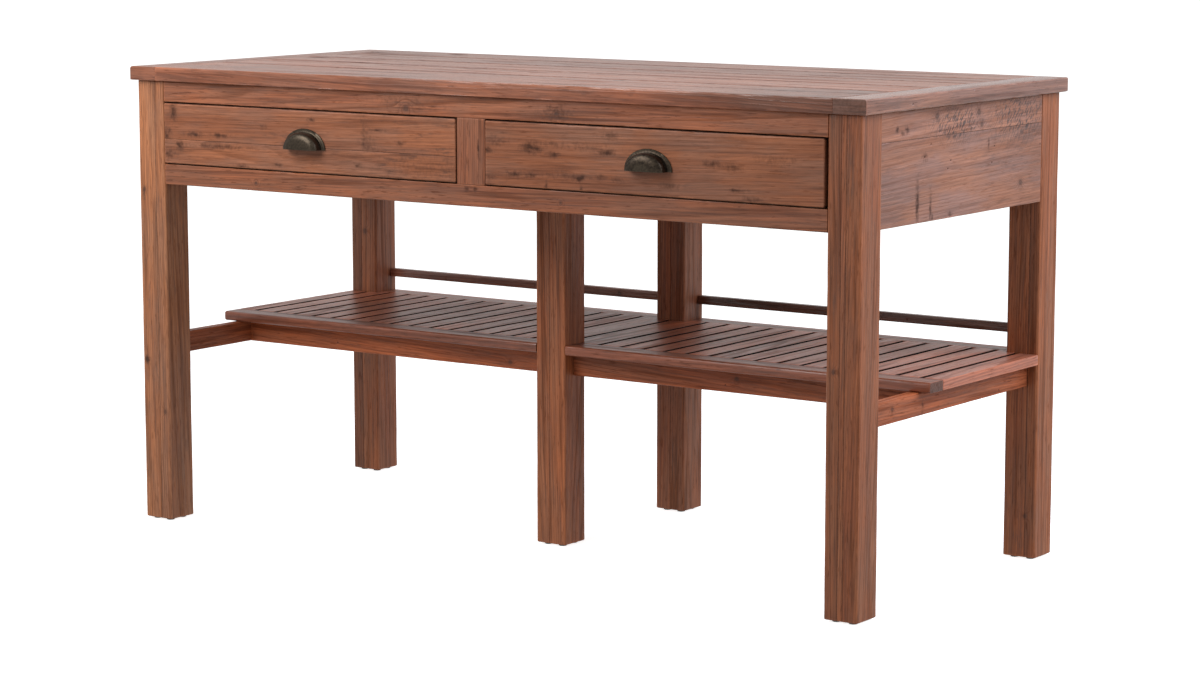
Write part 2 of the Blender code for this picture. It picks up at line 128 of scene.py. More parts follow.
def eased_section(width, thick, eases, across):
    """Walks once round a rectangle: flat faces sampled at `across`, with quarter circles between them.

    The walk is anticlockwise from the lower left corner; radii are for lower right, upper right, upper
    left, lower left. Returns across u, thickness v, the outward normal, 1 on the upper (show) face, and how
    near an edge each point lies: 1 on the arcs, falling to a third in RUB_HIGHLIGHT_REACH on the faces.
    """
    across = np.sort(np.concatenate([across, [eases[2] + RUB_HIGHLIGHT_REACH, width - eases[1] - RUB_HIGHLIGHT_REACH]]))
    inner = [(width - eases[0], eases[0]), (width - eases[1], thick - eases[1]),
             (eases[2], thick - eases[2]), (eases[3], eases[3])]
    reach = max(eases) + RUB_HIGHLIGHT_REACH
    middle = np.array([reach, thick / 2, thick - reach]) if thick > 3 * reach else np.array([thick / 2])
    low = across[(across > eases[3] + ARC_CLEAR) & (across < width - eases[0] - ARC_CLEAR)]
    low = low[::HIDDEN_STEP]
    top = across[(across > eases[2] + ARC_CLEAR) & (across < width - eases[1] - ARC_CLEAR)][::-1]
    flats = [(low, 0 * low, (0, -1)), (0 * middle + width, middle, (1, 0)),
             (top, 0 * top + thick, (0, 1)), (0 * middle, middle[::-1], (-1, 0))]
    columns = []
    for side, ((flat_u, flat_v, normal), (cu, cv), ease) in enumerate(zip(flats, inner, eases)):
        angle = QUARTER_TURN + (side - 1) * np.pi / 2
        nu = np.concatenate([0 * flat_u + normal[0], np.cos(angle)])
        nv = np.concatenate([0 * flat_u + normal[1], np.sin(angle)])
        u = np.concatenate([flat_u, cu + ease * np.cos(angle)])
        v = np.concatenate([flat_v, cv + ease * np.sin(angle)])
        show = np.concatenate([0 * flat_u + (side == 2), 0 * angle])
        if normal[1]:
            from_arc = np.minimum(flat_u - min(eases[2:]), width - min(eases[:2]) - flat_u)
        else:
            from_arc = np.minimum(flat_v, thick - flat_v) - max(eases)
        edge = np.concatenate([np.exp(-np.maximum(from_arc, 0) / RUB_HIGHLIGHT_REACH), 0 * angle + 1])
        columns.append(np.stack([u, v, nu, nv, show, edge]))
    return np.concatenate(columns, axis=1)


# %% Places along a line
SPOT_STEPS = np.array([-1, -0.6, -0.3, 0, 0.3, 0.6, 1])
PAST_ARC = 1.05          # even steps start this many radii from an end
LEAST_STEP = 5e-5        # places that lie closer are one place


def places(length, step, ease=0.0, fine=()):
    """Places from 0 to length: even steps, a quarter circle's steps at both ends, close ones at fine spots.

    A fine spot is (place, reach), and gets seven places from -reach to +reach round it.
    """
    even = np.linspace(0, length, max(int(round(length / step)), 2) + 1)
    arc = ease * (1 - np.cos(QUARTER_TURN))
    spots = [place + reach * SPOT_STEPS for place, reach in fine]
    even = even[(even > ease * PAST_ARC) & (even < length - ease * PAST_ARC)]
    every = np.sort(np.concatenate([arc, length - arc, even, *spots]))
    every = np.clip(every, 0, length)
    return every[np.concatenate([[True], np.diff(every) > LEAST_STEP])]


test_section = eased_section(0.066, 0.066, [0.004] * 4, places(0.066, 0.006))
print("a post's section has", test_section.shape[1], "points")

# %% [markdown]
# ## From section to board
#
# A board is its section carried along the grain. At both ends the section shrinks by a quarter circle,
# which breaks the end arrises too. Wear is pressed in along the outward normal: a little everywhere on
# the arcs, more where the noise is high, and a small pit at each nail hole. A sculpted mesh could show
# the same, but only for one board, and this serves them all. Every point also remembers where it lies
# in the tree the board was sawn from: its distance from the heart, and its place along the trunk. The
# finish reads that later, so rings run through a board and come out right on its end grain.

# %% Words for directions
AXES = {"x": np.array([1.0, 0, 0]), "y": np.array([0, 1.0, 0]), "z": np.array([0, 0, 1.0])}


def direction(word):
    """The unit vector for a word such as "x" or "-y"."""
    return -AXES[word[1]] if word[0] == "-" else AXES[word]


print("out of the drawer side:", direction("-y") + 0)

# %% The wood a strip is sawn from
HEART = {                # how far the tree's heart lies beside the board, and below its face
    "plain": (0.012, 0.050),
    "rift": (0.085, 0.070),
    "quarter": (0.170, 0.020),
}
LEAN = 0.035             # the heart leans at most this much in a metre
TRUNK = 40               # boards come from places along this many metres of trunks
BESIDE, BELOW = (0.6, 1.4), (0.6, 1.5)       # both distances vary by these factors


def wood_places(u, v, t, strip, seed, cut):
    """Each point's place in the tree: (across from the heart, depth from the heart, along the trunk).

    The heart line lies beside or under the board by the cut's distances, and leans a few centimetres in a
    metre.
    """
    rng = np.random.default_rng([seed, 7])
    count = int(strip.max()) + 1
    sideways, below = HEART[cut]
    lean = rng.uniform(-LEAN, LEAN, (2, count))
    side = rng.choice([-1, 1], count) * sideways * rng.uniform(*BESIDE, count)
    depth = below * rng.uniform(*BELOW, count)
    trunk = rng.uniform(0, TRUNK, count)
    middle = t - t.mean()
    across = u - u.mean() - side[strip] - lean[0][strip] * middle
    down = v + depth[strip] + lean[1][strip] * middle
    return np.stack([across, down, t + trunk[strip]], axis=-1), rng.random(count)[strip]


print("cuts:", list(HEART))

# %% Marks on the show face
NAIL = (0.0018, 0.0014)          # a nail hole's radius and depth
TEAR = (260, 120)                # a blot is torn this finely, in a metre across and along
BLOT_EVEN, BLOT_TORN = 0.35, 0.65
BLOT_STRENGTH = 1.6
KNOT_REACH = 2.2                 # a knot bends the grain this many of its radii away
FAR_AWAY = 9                     # an offset, in knot radii, where no knot is near


def pits(u, t, holes):
    """Nail holes: the sum of depth times exp(-(distance / radius)^4), and the largest without depth."""
    sunk, dark = np.zeros_like(u), np.zeros_like(u)
    for place_u, place_t, radius, depth in holes:
        bowl = np.exp(-(((u - place_u) ** 2 + (t - place_t) ** 2) / radius ** 2) ** 2)
        sunk += depth * bowl
        dark = np.maximum(dark, bowl)
    return sunk, dark


def blots(u, t, patches, seed):
    """Ragged patches: the largest strength times exp(-(du / half width)^2 / 3 - (dt / half length)^2 / 3).

    Noise then tears them, down to BLOT_EVEN of their strength.
    """
    shade = np.zeros_like(u)
    for place_u, place_t, half_u, half_t, strength in patches:
        patch = np.exp(-((u - place_u) / half_u) ** 2 / 3 - ((t - place_t) / half_t) ** 2 / 3)
        shade = np.maximum(shade, strength * patch)
    torn = BLOT_EVEN + BLOT_TORN * smooth_noise(u * TEAR[0], t * TEAR[1], seed)
    return np.clip(BLOT_STRENGTH * shade * torn, 0, 1)


def knot_places(u, t, knots):
    """Each point's offset from its nearest knot in knot radii, and exp(-(that distance / KNOT_REACH)^2)."""
    best = np.stack([u * 0 + FAR_AWAY, u * 0 + FAR_AWAY, u * 0], axis=-1)
    for place_u, place_t, radius in knots:
        du, dt = (u - place_u) / radius, (t - place_t) / radius
        near = np.exp(-(du ** 2 + dt ** 2) / KNOT_REACH ** 2)
        best = np.where((near > best[..., 2])[..., None], np.stack([du, dt, near], axis=-1), best)
    return best


print("a nail hole is", pits(np.zeros(1), np.zeros(1), [(0, 0, *NAIL)])[0][0], "deep in its middle")

# %% Where the marks lie on a face
CHANCE_KNOT = 0.0045             # radius of a knot that is placed by chance
CHANCE_NAIL = (0.0016, 0.0012)   # radius and depth of a nail hole that is placed by chance
CHANCE_ACROSS = (0.15, 0.85)     # such marks lie between these shares of the width
CHANCE_ALONG = (0.04, 0.96)      # and of the length


def on_face(marks, side, run, out, start):
    """Turns marks with two coordinates in the face's plane, in the order of the axes, into (u, t, ...)."""
    plane = np.abs(out) < 0.5
    turned = []
    for mark in marks:
        spot = start.copy()
        spot[plane] = mark[:2]
        turned.append((np.dot(side, spot - start), np.dot(run, spot - start), *mark[2:]))
    return turned


def by_chance(count, width, length, seed):
    """Random places (u, t) on the face, away from its edges."""
    rng = np.random.default_rng([seed, count])
    across = rng.uniform(*CHANCE_ACROSS, count) * width
    along = rng.uniform(*CHANCE_ALONG, count) * length
    return np.stack([across, along], axis=-1)


print("two places by chance:", by_chance(2, 0.1, 1.0, 5).round(3).tolist())

# %% The outline along the grain, and its wear
PIT_REACH = 1.6                  # places are close together within this many radii of a nail hole
TINY = 1e-6
FINE_WEAR, BROAD_WEAR = 38, 9    # changes of wear in a metre
FINE_ROW = (2, 11)               # row of the fine noise: the normal's angle times the first, plus the second
BROAD_ROW = (2, 5, 20)           # of the broad one: across and up times the first two, plus the third
FINE_RUB, BROAD_RUB, SPARED = 0.6, 0.55, 0.12
FACING_RISE, FACING_LOSS = 1.6, 0.3


def places_along(length, step, end_ease, holes, notches):
    """Places along the grain, close together at nail holes, with a pair at each end of a notch."""
    t = places(length, step, end_ease, [(hole[1], PIT_REACH * hole[2]) for hole in holes])
    steps = [place for notch in notches for place in notch[:2] if 0 < place < length]
    return np.sort(np.concatenate([t, *[[place - TINY, place + TINY] for place in steps]]))


def outline_along(t, length, width, end_ease, notches):
    """Distance to the nearer end, the inset there, and the left and right edge, at each place along.

    The inset is a quarter circle: ease - sqrt(ease^2 - (ease - distance)^2). A notch moves the edges in.
    """
    to_end = np.minimum(t, length - t)
    inset = end_ease - np.sqrt(np.maximum(end_ease ** 2 - np.maximum(end_ease - to_end, 0) ** 2, 0))
    left, right = inset.copy(), width - inset
    for begin, stop, keep_low, keep_high in notches:
        inside = (t > begin) & (t < stop)
        left = np.where(inside, np.maximum(left, keep_low), left)
        right = np.where(inside, np.minimum(right, keep_high), right)
    return to_end, inset, left, right


def rubbing(place, nu, nv, seed):
    """How hard each place was rubbed: a share of a fine noise and of a broad one, less what is spared.

    The normal picks the row of the noise, so that each arris of a board is rubbed, and painted paler as a
    highlight, in its own way.
    """
    fine_row = np.arctan2(nv, nu) * FINE_ROW[0] + FINE_ROW[1]
    broad_row = nu * BROAD_ROW[0] + nv * BROAD_ROW[1] + BROAD_ROW[2]
    fine = smooth_noise(place * FINE_WEAR, fine_row, seed)
    broad = smooth_noise(place * BROAD_WEAR, broad_row, seed + 1)
    return np.clip(fine * FINE_RUB + broad * BROAD_RUB - SPARED, 0, 1)


def facing(normal):
    """0 on faces that are turned away, 1 on faces turned this way: the normal times a rise, less a loss."""
    return np.clip(FACING_RISE * normal - FACING_LOSS, 0, 1)


print("a board 1 m long has", len(places_along(1.0, 0.006, 0.001, [], [])), "places along it")

# %% Carry the section along the grain
SCAR = 0.0006            # how far wear eats into an edge where it is worst
GLUE_LINE = 0.0008       # half the width of a joint between two strips
GROOVE_DEPTH = 0.6       # of a joint, in glue lines
GROOVE_DARK = 0.8
ON_ARC, ON_FLAT = 0.99, 0.9      # above these, a point lies on an arris or a normal stands on a flat face
GAP_SHADE_LIMIT = 0.5              # sides darker than this with grime and painted gap shade are never rubbed clean
END_RUB_HIGHLIGHT = 0.004          # an end's arrises are rubbed, and painted paler as a highlight, this far along
END_DARKER = 0.9         # end grain drinks more stain
GAP_SHADE_DARKER = 1.2        # and gaps are painted darker still: grime, and shade where little light gets in


def board(name, low, high, along, face, ease=0.0020, end_ease=0.0008, cut="rift", joints=(), holes=(),
          patches=(), knots=(), scuffs=(), chance=(0, 0), step=0.006, side_step=0.006, notches=(),
          scar=SCAR, gap_shade_and_dirt=(0, 0)):
    """A board's surface between two corners: section point (u, v) carried along t, minus normal times wear.

    `along` is the grain, `face` the show face. Marks are two coordinates in the face's plane and a size;
    `chance` adds knots and nail holes at random places. `joints` are glue lines across the board from its
    lower edge. A notch (from, to, low, high) narrows the board to low..high across for that stretch of its
    length. The last argument is how dark its two long sides are, with grime and with shade painted where
    they face a gap. Returns the points and what the finish reads.
    """
    low, high = np.array(low, float), np.array(high, float)
    run, out = direction(along), direction(face)
    side = np.cross(out, run)
    start = np.where(side + out + run > 0, low, high)
    width, thick, length = (abs(np.dot(vector, high - low)) for vector in (side, out, run))
    seed = seed_of(name)
    holes, patches, knots, scuffs = (on_face(marks, side, run, out, start)
                                     for marks in (holes, patches, knots, scuffs))
    knots += [(*spot, CHANCE_KNOT) for spot in by_chance(chance[0], width, length, seed)]
    holes += [(*spot, *CHANCE_NAIL) for spot in by_chance(chance[1], width, length, seed + 1)]

    eases = [ease] * 4 if np.isscalar(ease) else list(ease)
    fine = [(hole[0], PIT_REACH * hole[2]) for hole in holes] + [(joint, 2 * GLUE_LINE) for joint in joints]
    points_across = places(width, side_step, max(eases), fine)
    u, v, nu, nv, show, edge = eased_section(width, thick, eases, points_across)
    t = places_along(length, step, end_ease, holes, notches)
    to_end, inset, left, right = outline_along(t, length, width, end_ease, notches)
    across = left[:, None] + (right - left)[:, None] * u / width
    through = inset[:, None] + (thick - 2 * inset)[:, None] * v / thick
    place = np.repeat(t[:, None], len(u), axis=1)

    rubbed = rubbing(place, nu, nv, seed)
    sunk, dark = pits(across, place, holes)
    groove = sum((np.exp(-((across - joint) / GLUE_LINE) ** 2) for joint in joints), np.zeros_like(across))
    wear = scar * (edge > ON_ARC) * rubbed ** 2 + show * sunk
    wear = wear + GROOVE_DEPTH * GLUE_LINE * groove * (np.abs(nv) > ON_FLAT)
    strip = np.searchsorted(np.array(joints), across) if joints else np.zeros(across.shape, int)
    wood, tone = wood_places(across, through, place, strip, seed, cut)
    points = (start + (across - nu * wear)[..., None] * side + (through - nv * wear)[..., None] * out
              + place[..., None] * run)

    end = np.clip(1 - to_end / END_RUB_HIGHLIGHT, 0, 1)[:, None]
    # painted shade, with grime: sides in a gap get a darker tone and ink through the stain value
    gap_shaded = gap_shade_and_dirt[0] * facing(-nu) + gap_shade_and_dirt[1] * facing(nu) + 0 * across
    tone = tone - END_DARKER * (to_end < TINY)[:, None] - GAP_SHADE_DARKER * gap_shaded
    blotted = show * blots(across, place, patches, seed + 2)
    knot = knot_places(across, place, knots)
    knot[..., 2] *= show
    # the stain value also holds the painted gap shade, and the arris mark a painted highlight beside wear
    reads = {"wood": wood, "knot": knot, "tone": tone,
             "stain": np.maximum.reduce([show * dark, blotted, GROOVE_DARK * groove, gap_shaded]),
             "rub_and_highlight": np.clip(edge + end, 0, 1) * rubbed * (gap_shaded < GAP_SHADE_LIMIT),
             "scuff": show * blots(across, place, scuffs, seed + 3)}
    return points, reads


trial = board("trial", (0, 0, 0), (0.5, 0.02, 0.1), "x", "-y", holes=[(0.2, 0.05, *NAIL)])
print("a trial board has", trial[0].shape[0], "rings of", trial[0].shape[1], "points")

# %% [markdown]
# ## Into Blender
#
# The arrays become a mesh here. Quads join each ring of points to the next, and one flat face closes
# either end. A piece may hold several boards, as the slatted deck does. The object could be set in its
# place and turned, but it stays at the origin and its place is in its points, so it lines up with the
# solid that it stands for.

# %% Quads between rings
SHARP_FROM = math.radians(50)    # edges that bend more than this stay crisp


def ring_faces(rings, points, first):
    """Quads (ring, point), (ring, next), (next ring, next), (next ring, point), and the two end faces."""
    ring, point = np.meshgrid(np.arange(rings - 1), np.arange(points), indexing="ij")
    after = (point + 1) % points
    quads = np.stack([ring * points + point, ring * points + after,
                      (ring + 1) * points + after, (ring + 1) * points + point], axis=-1)
    ends = [np.arange(points)[::-1], (rings - 1) * points + np.arange(points)]
    return (quads.reshape(-1, 4) + first).tolist() + [(end + first).tolist() for end in ends]


print("two rings of four points give", len(ring_faces(2, 4, 0)), "faces")


# %% A piece that rides on a body and stands for its solids
def dress(name, boards, finish, body, solids):
    """Joins boards into one smooth mesh with the attributes that the finish reads, tied to its solids."""
    points, faces, first = [], [], 0
    for grid, reads in boards:
        faces += ring_faces(grid.shape[0], grid.shape[1], first)
        points.append(grid.reshape(-1, 3))
        first += len(points[-1])
    mesh = bpy.data.meshes.new(name)
    mesh.from_pydata(np.concatenate(points), [], faces)
    for word in boards[0][1]:
        values = np.concatenate([reads[word].reshape(grid[..., 0].size, -1) for grid, reads in boards])
        vector = values.shape[1] == 3
        layer = mesh.attributes.new(word, "FLOAT_VECTOR" if vector else "FLOAT", "POINT")
        layer.data.foreach_set("vector" if vector else "value", values.astype(np.float32).ravel())
    mesh.shade_smooth()
    mesh.set_sharp_from_angle(angle=SHARP_FROM)
    mesh.materials.append(finish)
    piece = bpy.data.objects.new(name, mesh)
    bpy.context.scene.collection.objects.link(piece)
    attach(piece, body)
    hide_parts(*solids)
    print(name, len(mesh.polygons), "faces")


def dress_frame(name, boards, finish):
    """A piece of the fixed frame, in pine, that stands for the solid of the same name."""
    dress("pine_" + name, boards, finish, "frame", [name])


# %% [markdown]
# ## Stained pine
#
# The whole island is old softwood under one reddish brown stain. Pine shows broad pale bands of spring
# growth between thin dark lines of summer growth; stain soaks into the pale bands unevenly, lies dark
# in pores and scratches, and is rubbed away on the arrises, whose paler colour is also a painted
# highlight. Shade is painted into the gaps and slots between boards. A photograph of wood wrapped on the
# boards would stretch and repeat. Here the colour is worked out from each point's place in the tree, so
# no two boards are alike.

# %% Short hands for shader nodes
def fill(tree, made, inputs):
    """Sets a node's inputs: a number or a colour is set, another node's output is linked."""
    for word, value in inputs.items():
        if isinstance(value, bpy.types.NodeSocket):
            tree.links.new(value, made.inputs[word])
        else:
            made.inputs[word].default_value = value


def node(tree, kind, inputs=None, **settings):
    """Adds one shader node and gives its first output."""
    made = tree.nodes.new("ShaderNode" + kind)
    for word, value in settings.items():
        setattr(made, word, value)
    fill(tree, made, inputs or {})
    return made.outputs[0]


def calc(tree, operation, *values):
    """One arithmetic step, such as calc(tree, "MULTIPLY", a, b)."""
    return node(tree, "Math", dict(enumerate(values)), operation=operation)


def scaled(tree, vector, by):
    """A vector or a colour times another, part by part."""
    return node(tree, "VectorMath", {0: vector, 1: by}, operation="MULTIPLY")


def between(tree, value, low, high):
    """0 below low, 1 above high, and a smooth step from one to the other."""
    return node(tree, "MapRange", {"Value": value, "From Min": low, "From Max": high},
                interpolation_type="SMOOTHSTEP")


def blend(tree, share, first, second):
    """The first colour, with a share of the second laid over it."""
    made = tree.nodes.new("ShaderNodeMix")
    made.data_type = "RGBA"
    fill(tree, made, {0: share, 6: first, 7: second})
    return made.outputs[2]


def lay(tree, colour, mask, strength, over):
    """Lays a colour over another where the mask is, at that strength."""
    return blend(tree, calc(tree, "MULTIPLY", mask, strength), colour, over)


def clouds(tree, place, scale, detail=3.0, rough=0.55):
    """Stretched noise: `scale` is how many clouds fit in a metre across, through and along the wood."""
    return node(tree, "TexNoise", {"Vector": scaled(tree, place, scale), "Scale": 1.0, "Detail": detail,
                                   "Roughness": rough})


def cloud_mask(tree, place, scale, detail, rough, start, full):
    """Clouds as a mask: 0 where their noise is below start, 1 where it is above full."""
    return between(tree, clouds(tree, place, scale, detail, rough), start, full)


# %% Short hands for a finish
def attribute(tree, word, output="Fac"):
    """What a piece's points remember under this word."""
    return node(tree, "Attribute", attribute_name=word).node.outputs[output]


def own_place(tree):
    """The place in the piece's own coordinates."""
    return node(tree, "TexCoord").node.outputs["Object"]


def paler(colour, by):
    """A colour, brighter by a factor."""
    return [by * part for part in colour]


def new_finish(name):
    """A fresh finish, with its node tree and its shader."""
    finish = bpy.data.materials.new(name)
    finish.use_nodes = True
    return finish, finish.node_tree, finish.node_tree.nodes["Principled BSDF"]


# %% Growth rings and knots
WANDER_CLOUDS = ((7, 7, 1.3), 4.0, 0.5)      # rings wander this often in a metre
WANDER_REACH = (0.016, 0.016, 0)     # and this far
MIDDLE_GREY = (0.5, 0.5, 0.5)        # the mean of the noise
ACROSS_TRUNK = (1, 1, 0)             # leaves the place along the trunk out
KNOT_PUSH = 2.5                      # a knot pushes the rings out by this many years
SUMMER_RISE, SUMMER_FALL = (0.45, 0.90), (0.91, 1.0)     # shares of a year
YEAR_SPAN = (0.8, 0.2)               # summer lines differ by the first, and keep the second
KNOT_LONG = 0.8                      # a knot is longer along the grain
KNOT_EDGE = (300, 300, 160)          # and ragged this finely
KNOT_RAGGED = 0.7                    # by this many radii
KNOT_HEART, KNOT_NEAR, KNOT_HALO = (1.05, 0.7), (0.2, 0.5), (2.6, 0.9)     # where each starts and is full


def growth(tree, wood, knot, ring_gap):
    """Bent wood places, summer lines, knot hearts and knot halos.

    Rings are the distance from the heart line, divided by the ring gap. The fraction of that number rises
    through one year's growth; the summer line is its last third. A knot pushes the rings outwards, which
    bends them round it.
    """
    wander = clouds(tree, wood, *WANDER_CLOUDS).node.outputs["Color"]
    wander = node(tree, "VectorMath", {0: wander, 1: MIDDLE_GREY}, operation="SUBTRACT")
    bent = node(tree, "VectorMath", {0: wood, 1: scaled(tree, wander, WANDER_REACH)}, operation="ADD")
    heart = node(tree, "VectorMath", {0: scaled(tree, bent, ACROSS_TRUNK)}, operation="LENGTH")
    heart = heart.node.outputs["Value"]
    near = node(tree, "SeparateXYZ", {0: knot}).node.outputs
    years = calc(tree, "MULTIPLY_ADD", near["Z"], KNOT_PUSH, calc(tree, "DIVIDE", heart, ring_gap))
    season = calc(tree, "FRACT", years)
    year = node(tree, "TexWhiteNoise", {"W": calc(tree, "FLOOR", years)}, noise_dimensions="1D")
    summer = calc(tree, "MULTIPLY", between(tree, season, *SUMMER_RISE),
                  calc(tree, "SUBTRACT", 1.0, between(tree, season, *SUMMER_FALL)))
    summer = calc(tree, "MULTIPLY", summer, calc(tree, "MULTIPLY_ADD", year, *YEAR_SPAN))
    across_knot = calc(tree, "POWER", near["X"], 2.0)
    along_knot = calc(tree, "POWER", calc(tree, "MULTIPLY", near["Y"], KNOT_LONG), 2.0)
    spread = calc(tree, "SQRT", calc(tree, "ADD", across_knot, along_knot))
    edge = clouds(tree, wood, KNOT_EDGE)
    ragged = calc(tree, "MULTIPLY_ADD", edge, KNOT_RAGGED, calc(tree, "SUBTRACT", spread, KNOT_RAGGED / 2))
    is_near = between(tree, near["Z"], *KNOT_NEAR)
    inside = calc(tree, "MULTIPLY", between(tree, ragged, *KNOT_HEART), is_near)
    halo = calc(tree, "MULTIPLY", near["Z"], between(tree, ragged, *KNOT_HALO))
    return bent, summer, inside, halo


print("a summer line starts after", SUMMER_RISE[0], "of a year")

# %% Fine lines along the grain
FINE_LINES = {           # clouds in a metre across, through and along the trunk, their detail and roughness
    "line": ((210, 210, 3.4), 2.0, 0.55),
    "fibre": ((400, 400, 7), 2.0, 0.6),
    "hair": ((1000, 1000, 26), 2.0, 0.6),
    "pore": ((330, 330, 30), 3.0, 0.6),
    "scratch": ((260, 260, 5), 2.0, 0.6),
}
STREAKS_ALONG = 2.6      # in a metre


def fibres(tree, bent, streaks):
    """Noise stretched along the trunk, by name: streaks, so many in a metre across, and the finer lines."""
    fine = {word: clouds(tree, bent, *made) for word, made in FINE_LINES.items()}
    fine["streak"] = clouds(tree, bent, (streaks, streaks, STREAKS_ALONG))
    return fine


print("fine lines:", list(FINE_LINES))

# %% The colour of clean wood
KNOT_BROWN = (0.050, 0.019, 0.010, 1)
WARM, COOL = (1.10, 0.98, 0.82, 1), (0.92, 1.02, 1.16, 1)     # the stain drifts between these tints
BANDS = ((13, 13, 2.2), 3.0, 0.55, 0.34, 0.66)       # cloud mask of the pale and darker bands
DRIFTS = ((22, 22, 5.0), 4.0, 0.6, 0.36, 0.64)       # and of the changes of tint
SUMMER_DARK = 0.55
FIGURE = [               # fine line, noise where it starts and is full, strength, dye, and if it is dull
    ("line", (0.50, 0.64), 0.45, "deep", False),
    ("line", (0.48, 0.36), 0.30, "bright", False),
    ("streak", (0.50, 0.68), 0.55, "deep", True),
    ("streak", (0.48, 0.30), 0.40, "pale", False),
    ("scratch", (0.60, 0.70), 0.45, "brightest", False),
    ("pore", (0.57, 0.68), 0.60, "deep", True),
]
BRIGHT, BRIGHTEST = 1.2, 1.25        # times the pale dye
WEAVE_START, HAIR_WEAVE, FIBRE_WEAVE = 0.05, 0.8, 1.1
HALO_DARK, HEART_DARK = 0.55, 0.55   # round a knot, and inside it


def clean_wood(tree, wood, reads, pale, middle, deep, ring_gap, figure, streaks):
    """Broad bands, summer lines, the figure, fibres, then knots. Also gives what bump and gloss reuse."""
    bent, summer, inside, halo = growth(tree, wood, reads["knot"], ring_gap)
    fine = fibres(tree, bent, streaks)
    dyes = {"deep": deep, "pale": pale, "bright": paler(pale, BRIGHT), "brightest": paler(pale, BRIGHTEST)}
    colour = blend(tree, cloud_mask(tree, wood, *BANDS), pale, middle)
    tint = blend(tree, cloud_mask(tree, wood, *DRIFTS), WARM, COOL)
    colour = scaled(tree, colour, tint)
    colour = lay(tree, colour, summer, SUMMER_DARK * figure, deep)
    dull_lines = summer
    for word, limits, strength, dye, is_dull in FIGURE:
        line = between(tree, fine[word], *limits)
        colour = lay(tree, colour, line, strength * figure, dyes[dye])
        if is_dull:
            dull_lines = calc(tree, "MAXIMUM", dull_lines, line)
    weave = calc(tree, "MULTIPLY_ADD", fine["hair"], HAIR_WEAVE, WEAVE_START)
    weave = calc(tree, "MULTIPLY_ADD", fine["fibre"], FIBRE_WEAVE, weave)
    colour = scaled(tree, colour, weave)
    colour = lay(tree, colour, halo, HALO_DARK, deep)
    colour = lay(tree, colour, inside, HEART_DARK, KNOT_BROWN)
    return colour, bent, summer, fine["fibre"], dull_lines


print("the figure is laid on in this order:", [row[0] for row in FIGURE])

# %% The colour of worn wood
INK = (0.046, 0.028, 0.024, 1)         # stain pooled in holes and scratches, and painted shade in gaps and slots
SAW_SLANT = (0, 0.7, 0)                # an old saw's strokes lean this much across the grain
WEAR_MASKS = {           # clouds in a metre, their detail and roughness, noise where they start and are full
    "smudges": ((9, 9, 3.2), 3.0, 0.55, 0.44, 0.62),
    "dabs": ((95, 95, 24), 5.0, 0.68, 0.52, 0.68),
    "torn strokes": ((120, 120, 160), 3.0, 0.6, 0.34, 0.66),
    "saw strokes": ((75, 75, 300), 1.5, 0.45, 0.50, 0.58),
    "rubbed spots": ((240, 240, 40), 3.0, 0.55, 0.30, 0.58),
}
STAIN_GAIN = 1.3                       # a blot is the stain value times this
TORN_OUT = 0.35                        # less what the torn strokes take out of it
BLOT_INK, SAW_INK = 0.8, 0.85          # how strongly blots and saw strokes are inked
RUB_HIGHLIGHT_SHARE, RUB_HIGHLIGHT_BRIGHT = 0.75, 1.5      # rubbed arrises with a painted highlight: strength, and brightness in pale dyes


def worn_wood(tree, colour, wood, bent, reads, pale, smudge):
    """Smudges of stain, blots, painted gap shade, saw scuffs and paler arrises laid over the clean wood.

    A blot is the piece's own stain value times a gain, less what short strokes across the grain tear out.
    The stain value also holds the painted shade of gaps; the arrises are paler by wear and a painted
    highlight.
    """
    slanted = node(tree, "Mapping", {"Vector": wood, "Rotation": SAW_SLANT})
    smudges = cloud_mask(tree, wood, *WEAR_MASKS["smudges"])
    dabs = cloud_mask(tree, bent, *WEAR_MASKS["dabs"])
    torn = cloud_mask(tree, bent, *WEAR_MASKS["torn strokes"])
    strokes = cloud_mask(tree, slanted, *WEAR_MASKS["saw strokes"])
    spots = cloud_mask(tree, wood, *WEAR_MASKS["rubbed spots"])

    colour = lay(tree, colour, calc(tree, "MULTIPLY", smudges, dabs), smudge, INK)
    blotched = calc(tree, "MULTIPLY_ADD", reads["stain"], STAIN_GAIN, -TORN_OUT)
    blotched = node(tree, "Clamp", {"Value": calc(tree, "MULTIPLY_ADD", torn, TORN_OUT, blotched)})
    colour = lay(tree, colour, blotched, BLOT_INK, INK)
    scratched = calc(tree, "MULTIPLY", reads["scuff"], strokes)
    colour = lay(tree, colour, scratched, SAW_INK, INK)
    # paler arrises: pale wood bared by wear, and a painted highlight
    rubbed = calc(tree, "MULTIPLY", reads["rub_and_highlight"], spots)
    colour = lay(tree, colour, rubbed, RUB_HIGHLIGHT_SHARE, paler(pale, RUB_HIGHLIGHT_BRIGHT))
    return colour, scratched, blotched


print("wear:", list(WEAR_MASKS))

# %% The finish itself
GRAIN_ALONG = {"x": (0, -math.pi / 2, 0), "y": (math.pi / 2, 0, 0)}     # lays the trunk along an axis
GRAIN_START = (0.11, 0.07, 0.0)        # the heart of a plain solid lies this far off
SUMMER_RIDGE, FIBRE_RIDGE, SCRATCH_DEPTH = 0.5, 0.8, 1.4
BUMP = {"Strength": 0.45, "Distance": 0.0008}
LINES_DULL = 0.5                       # dull lines are half as dull as blots
PLAIN_TONE = 0.5                       # a plain solid's tone, in the middle
FIBRE_ROUGH, DULL_ROUGH = 0.24, 0.30   # how much rougher fibres and dull places are
DULL_LOSS = 0.85                       # and how much of the gloss a dull place loses


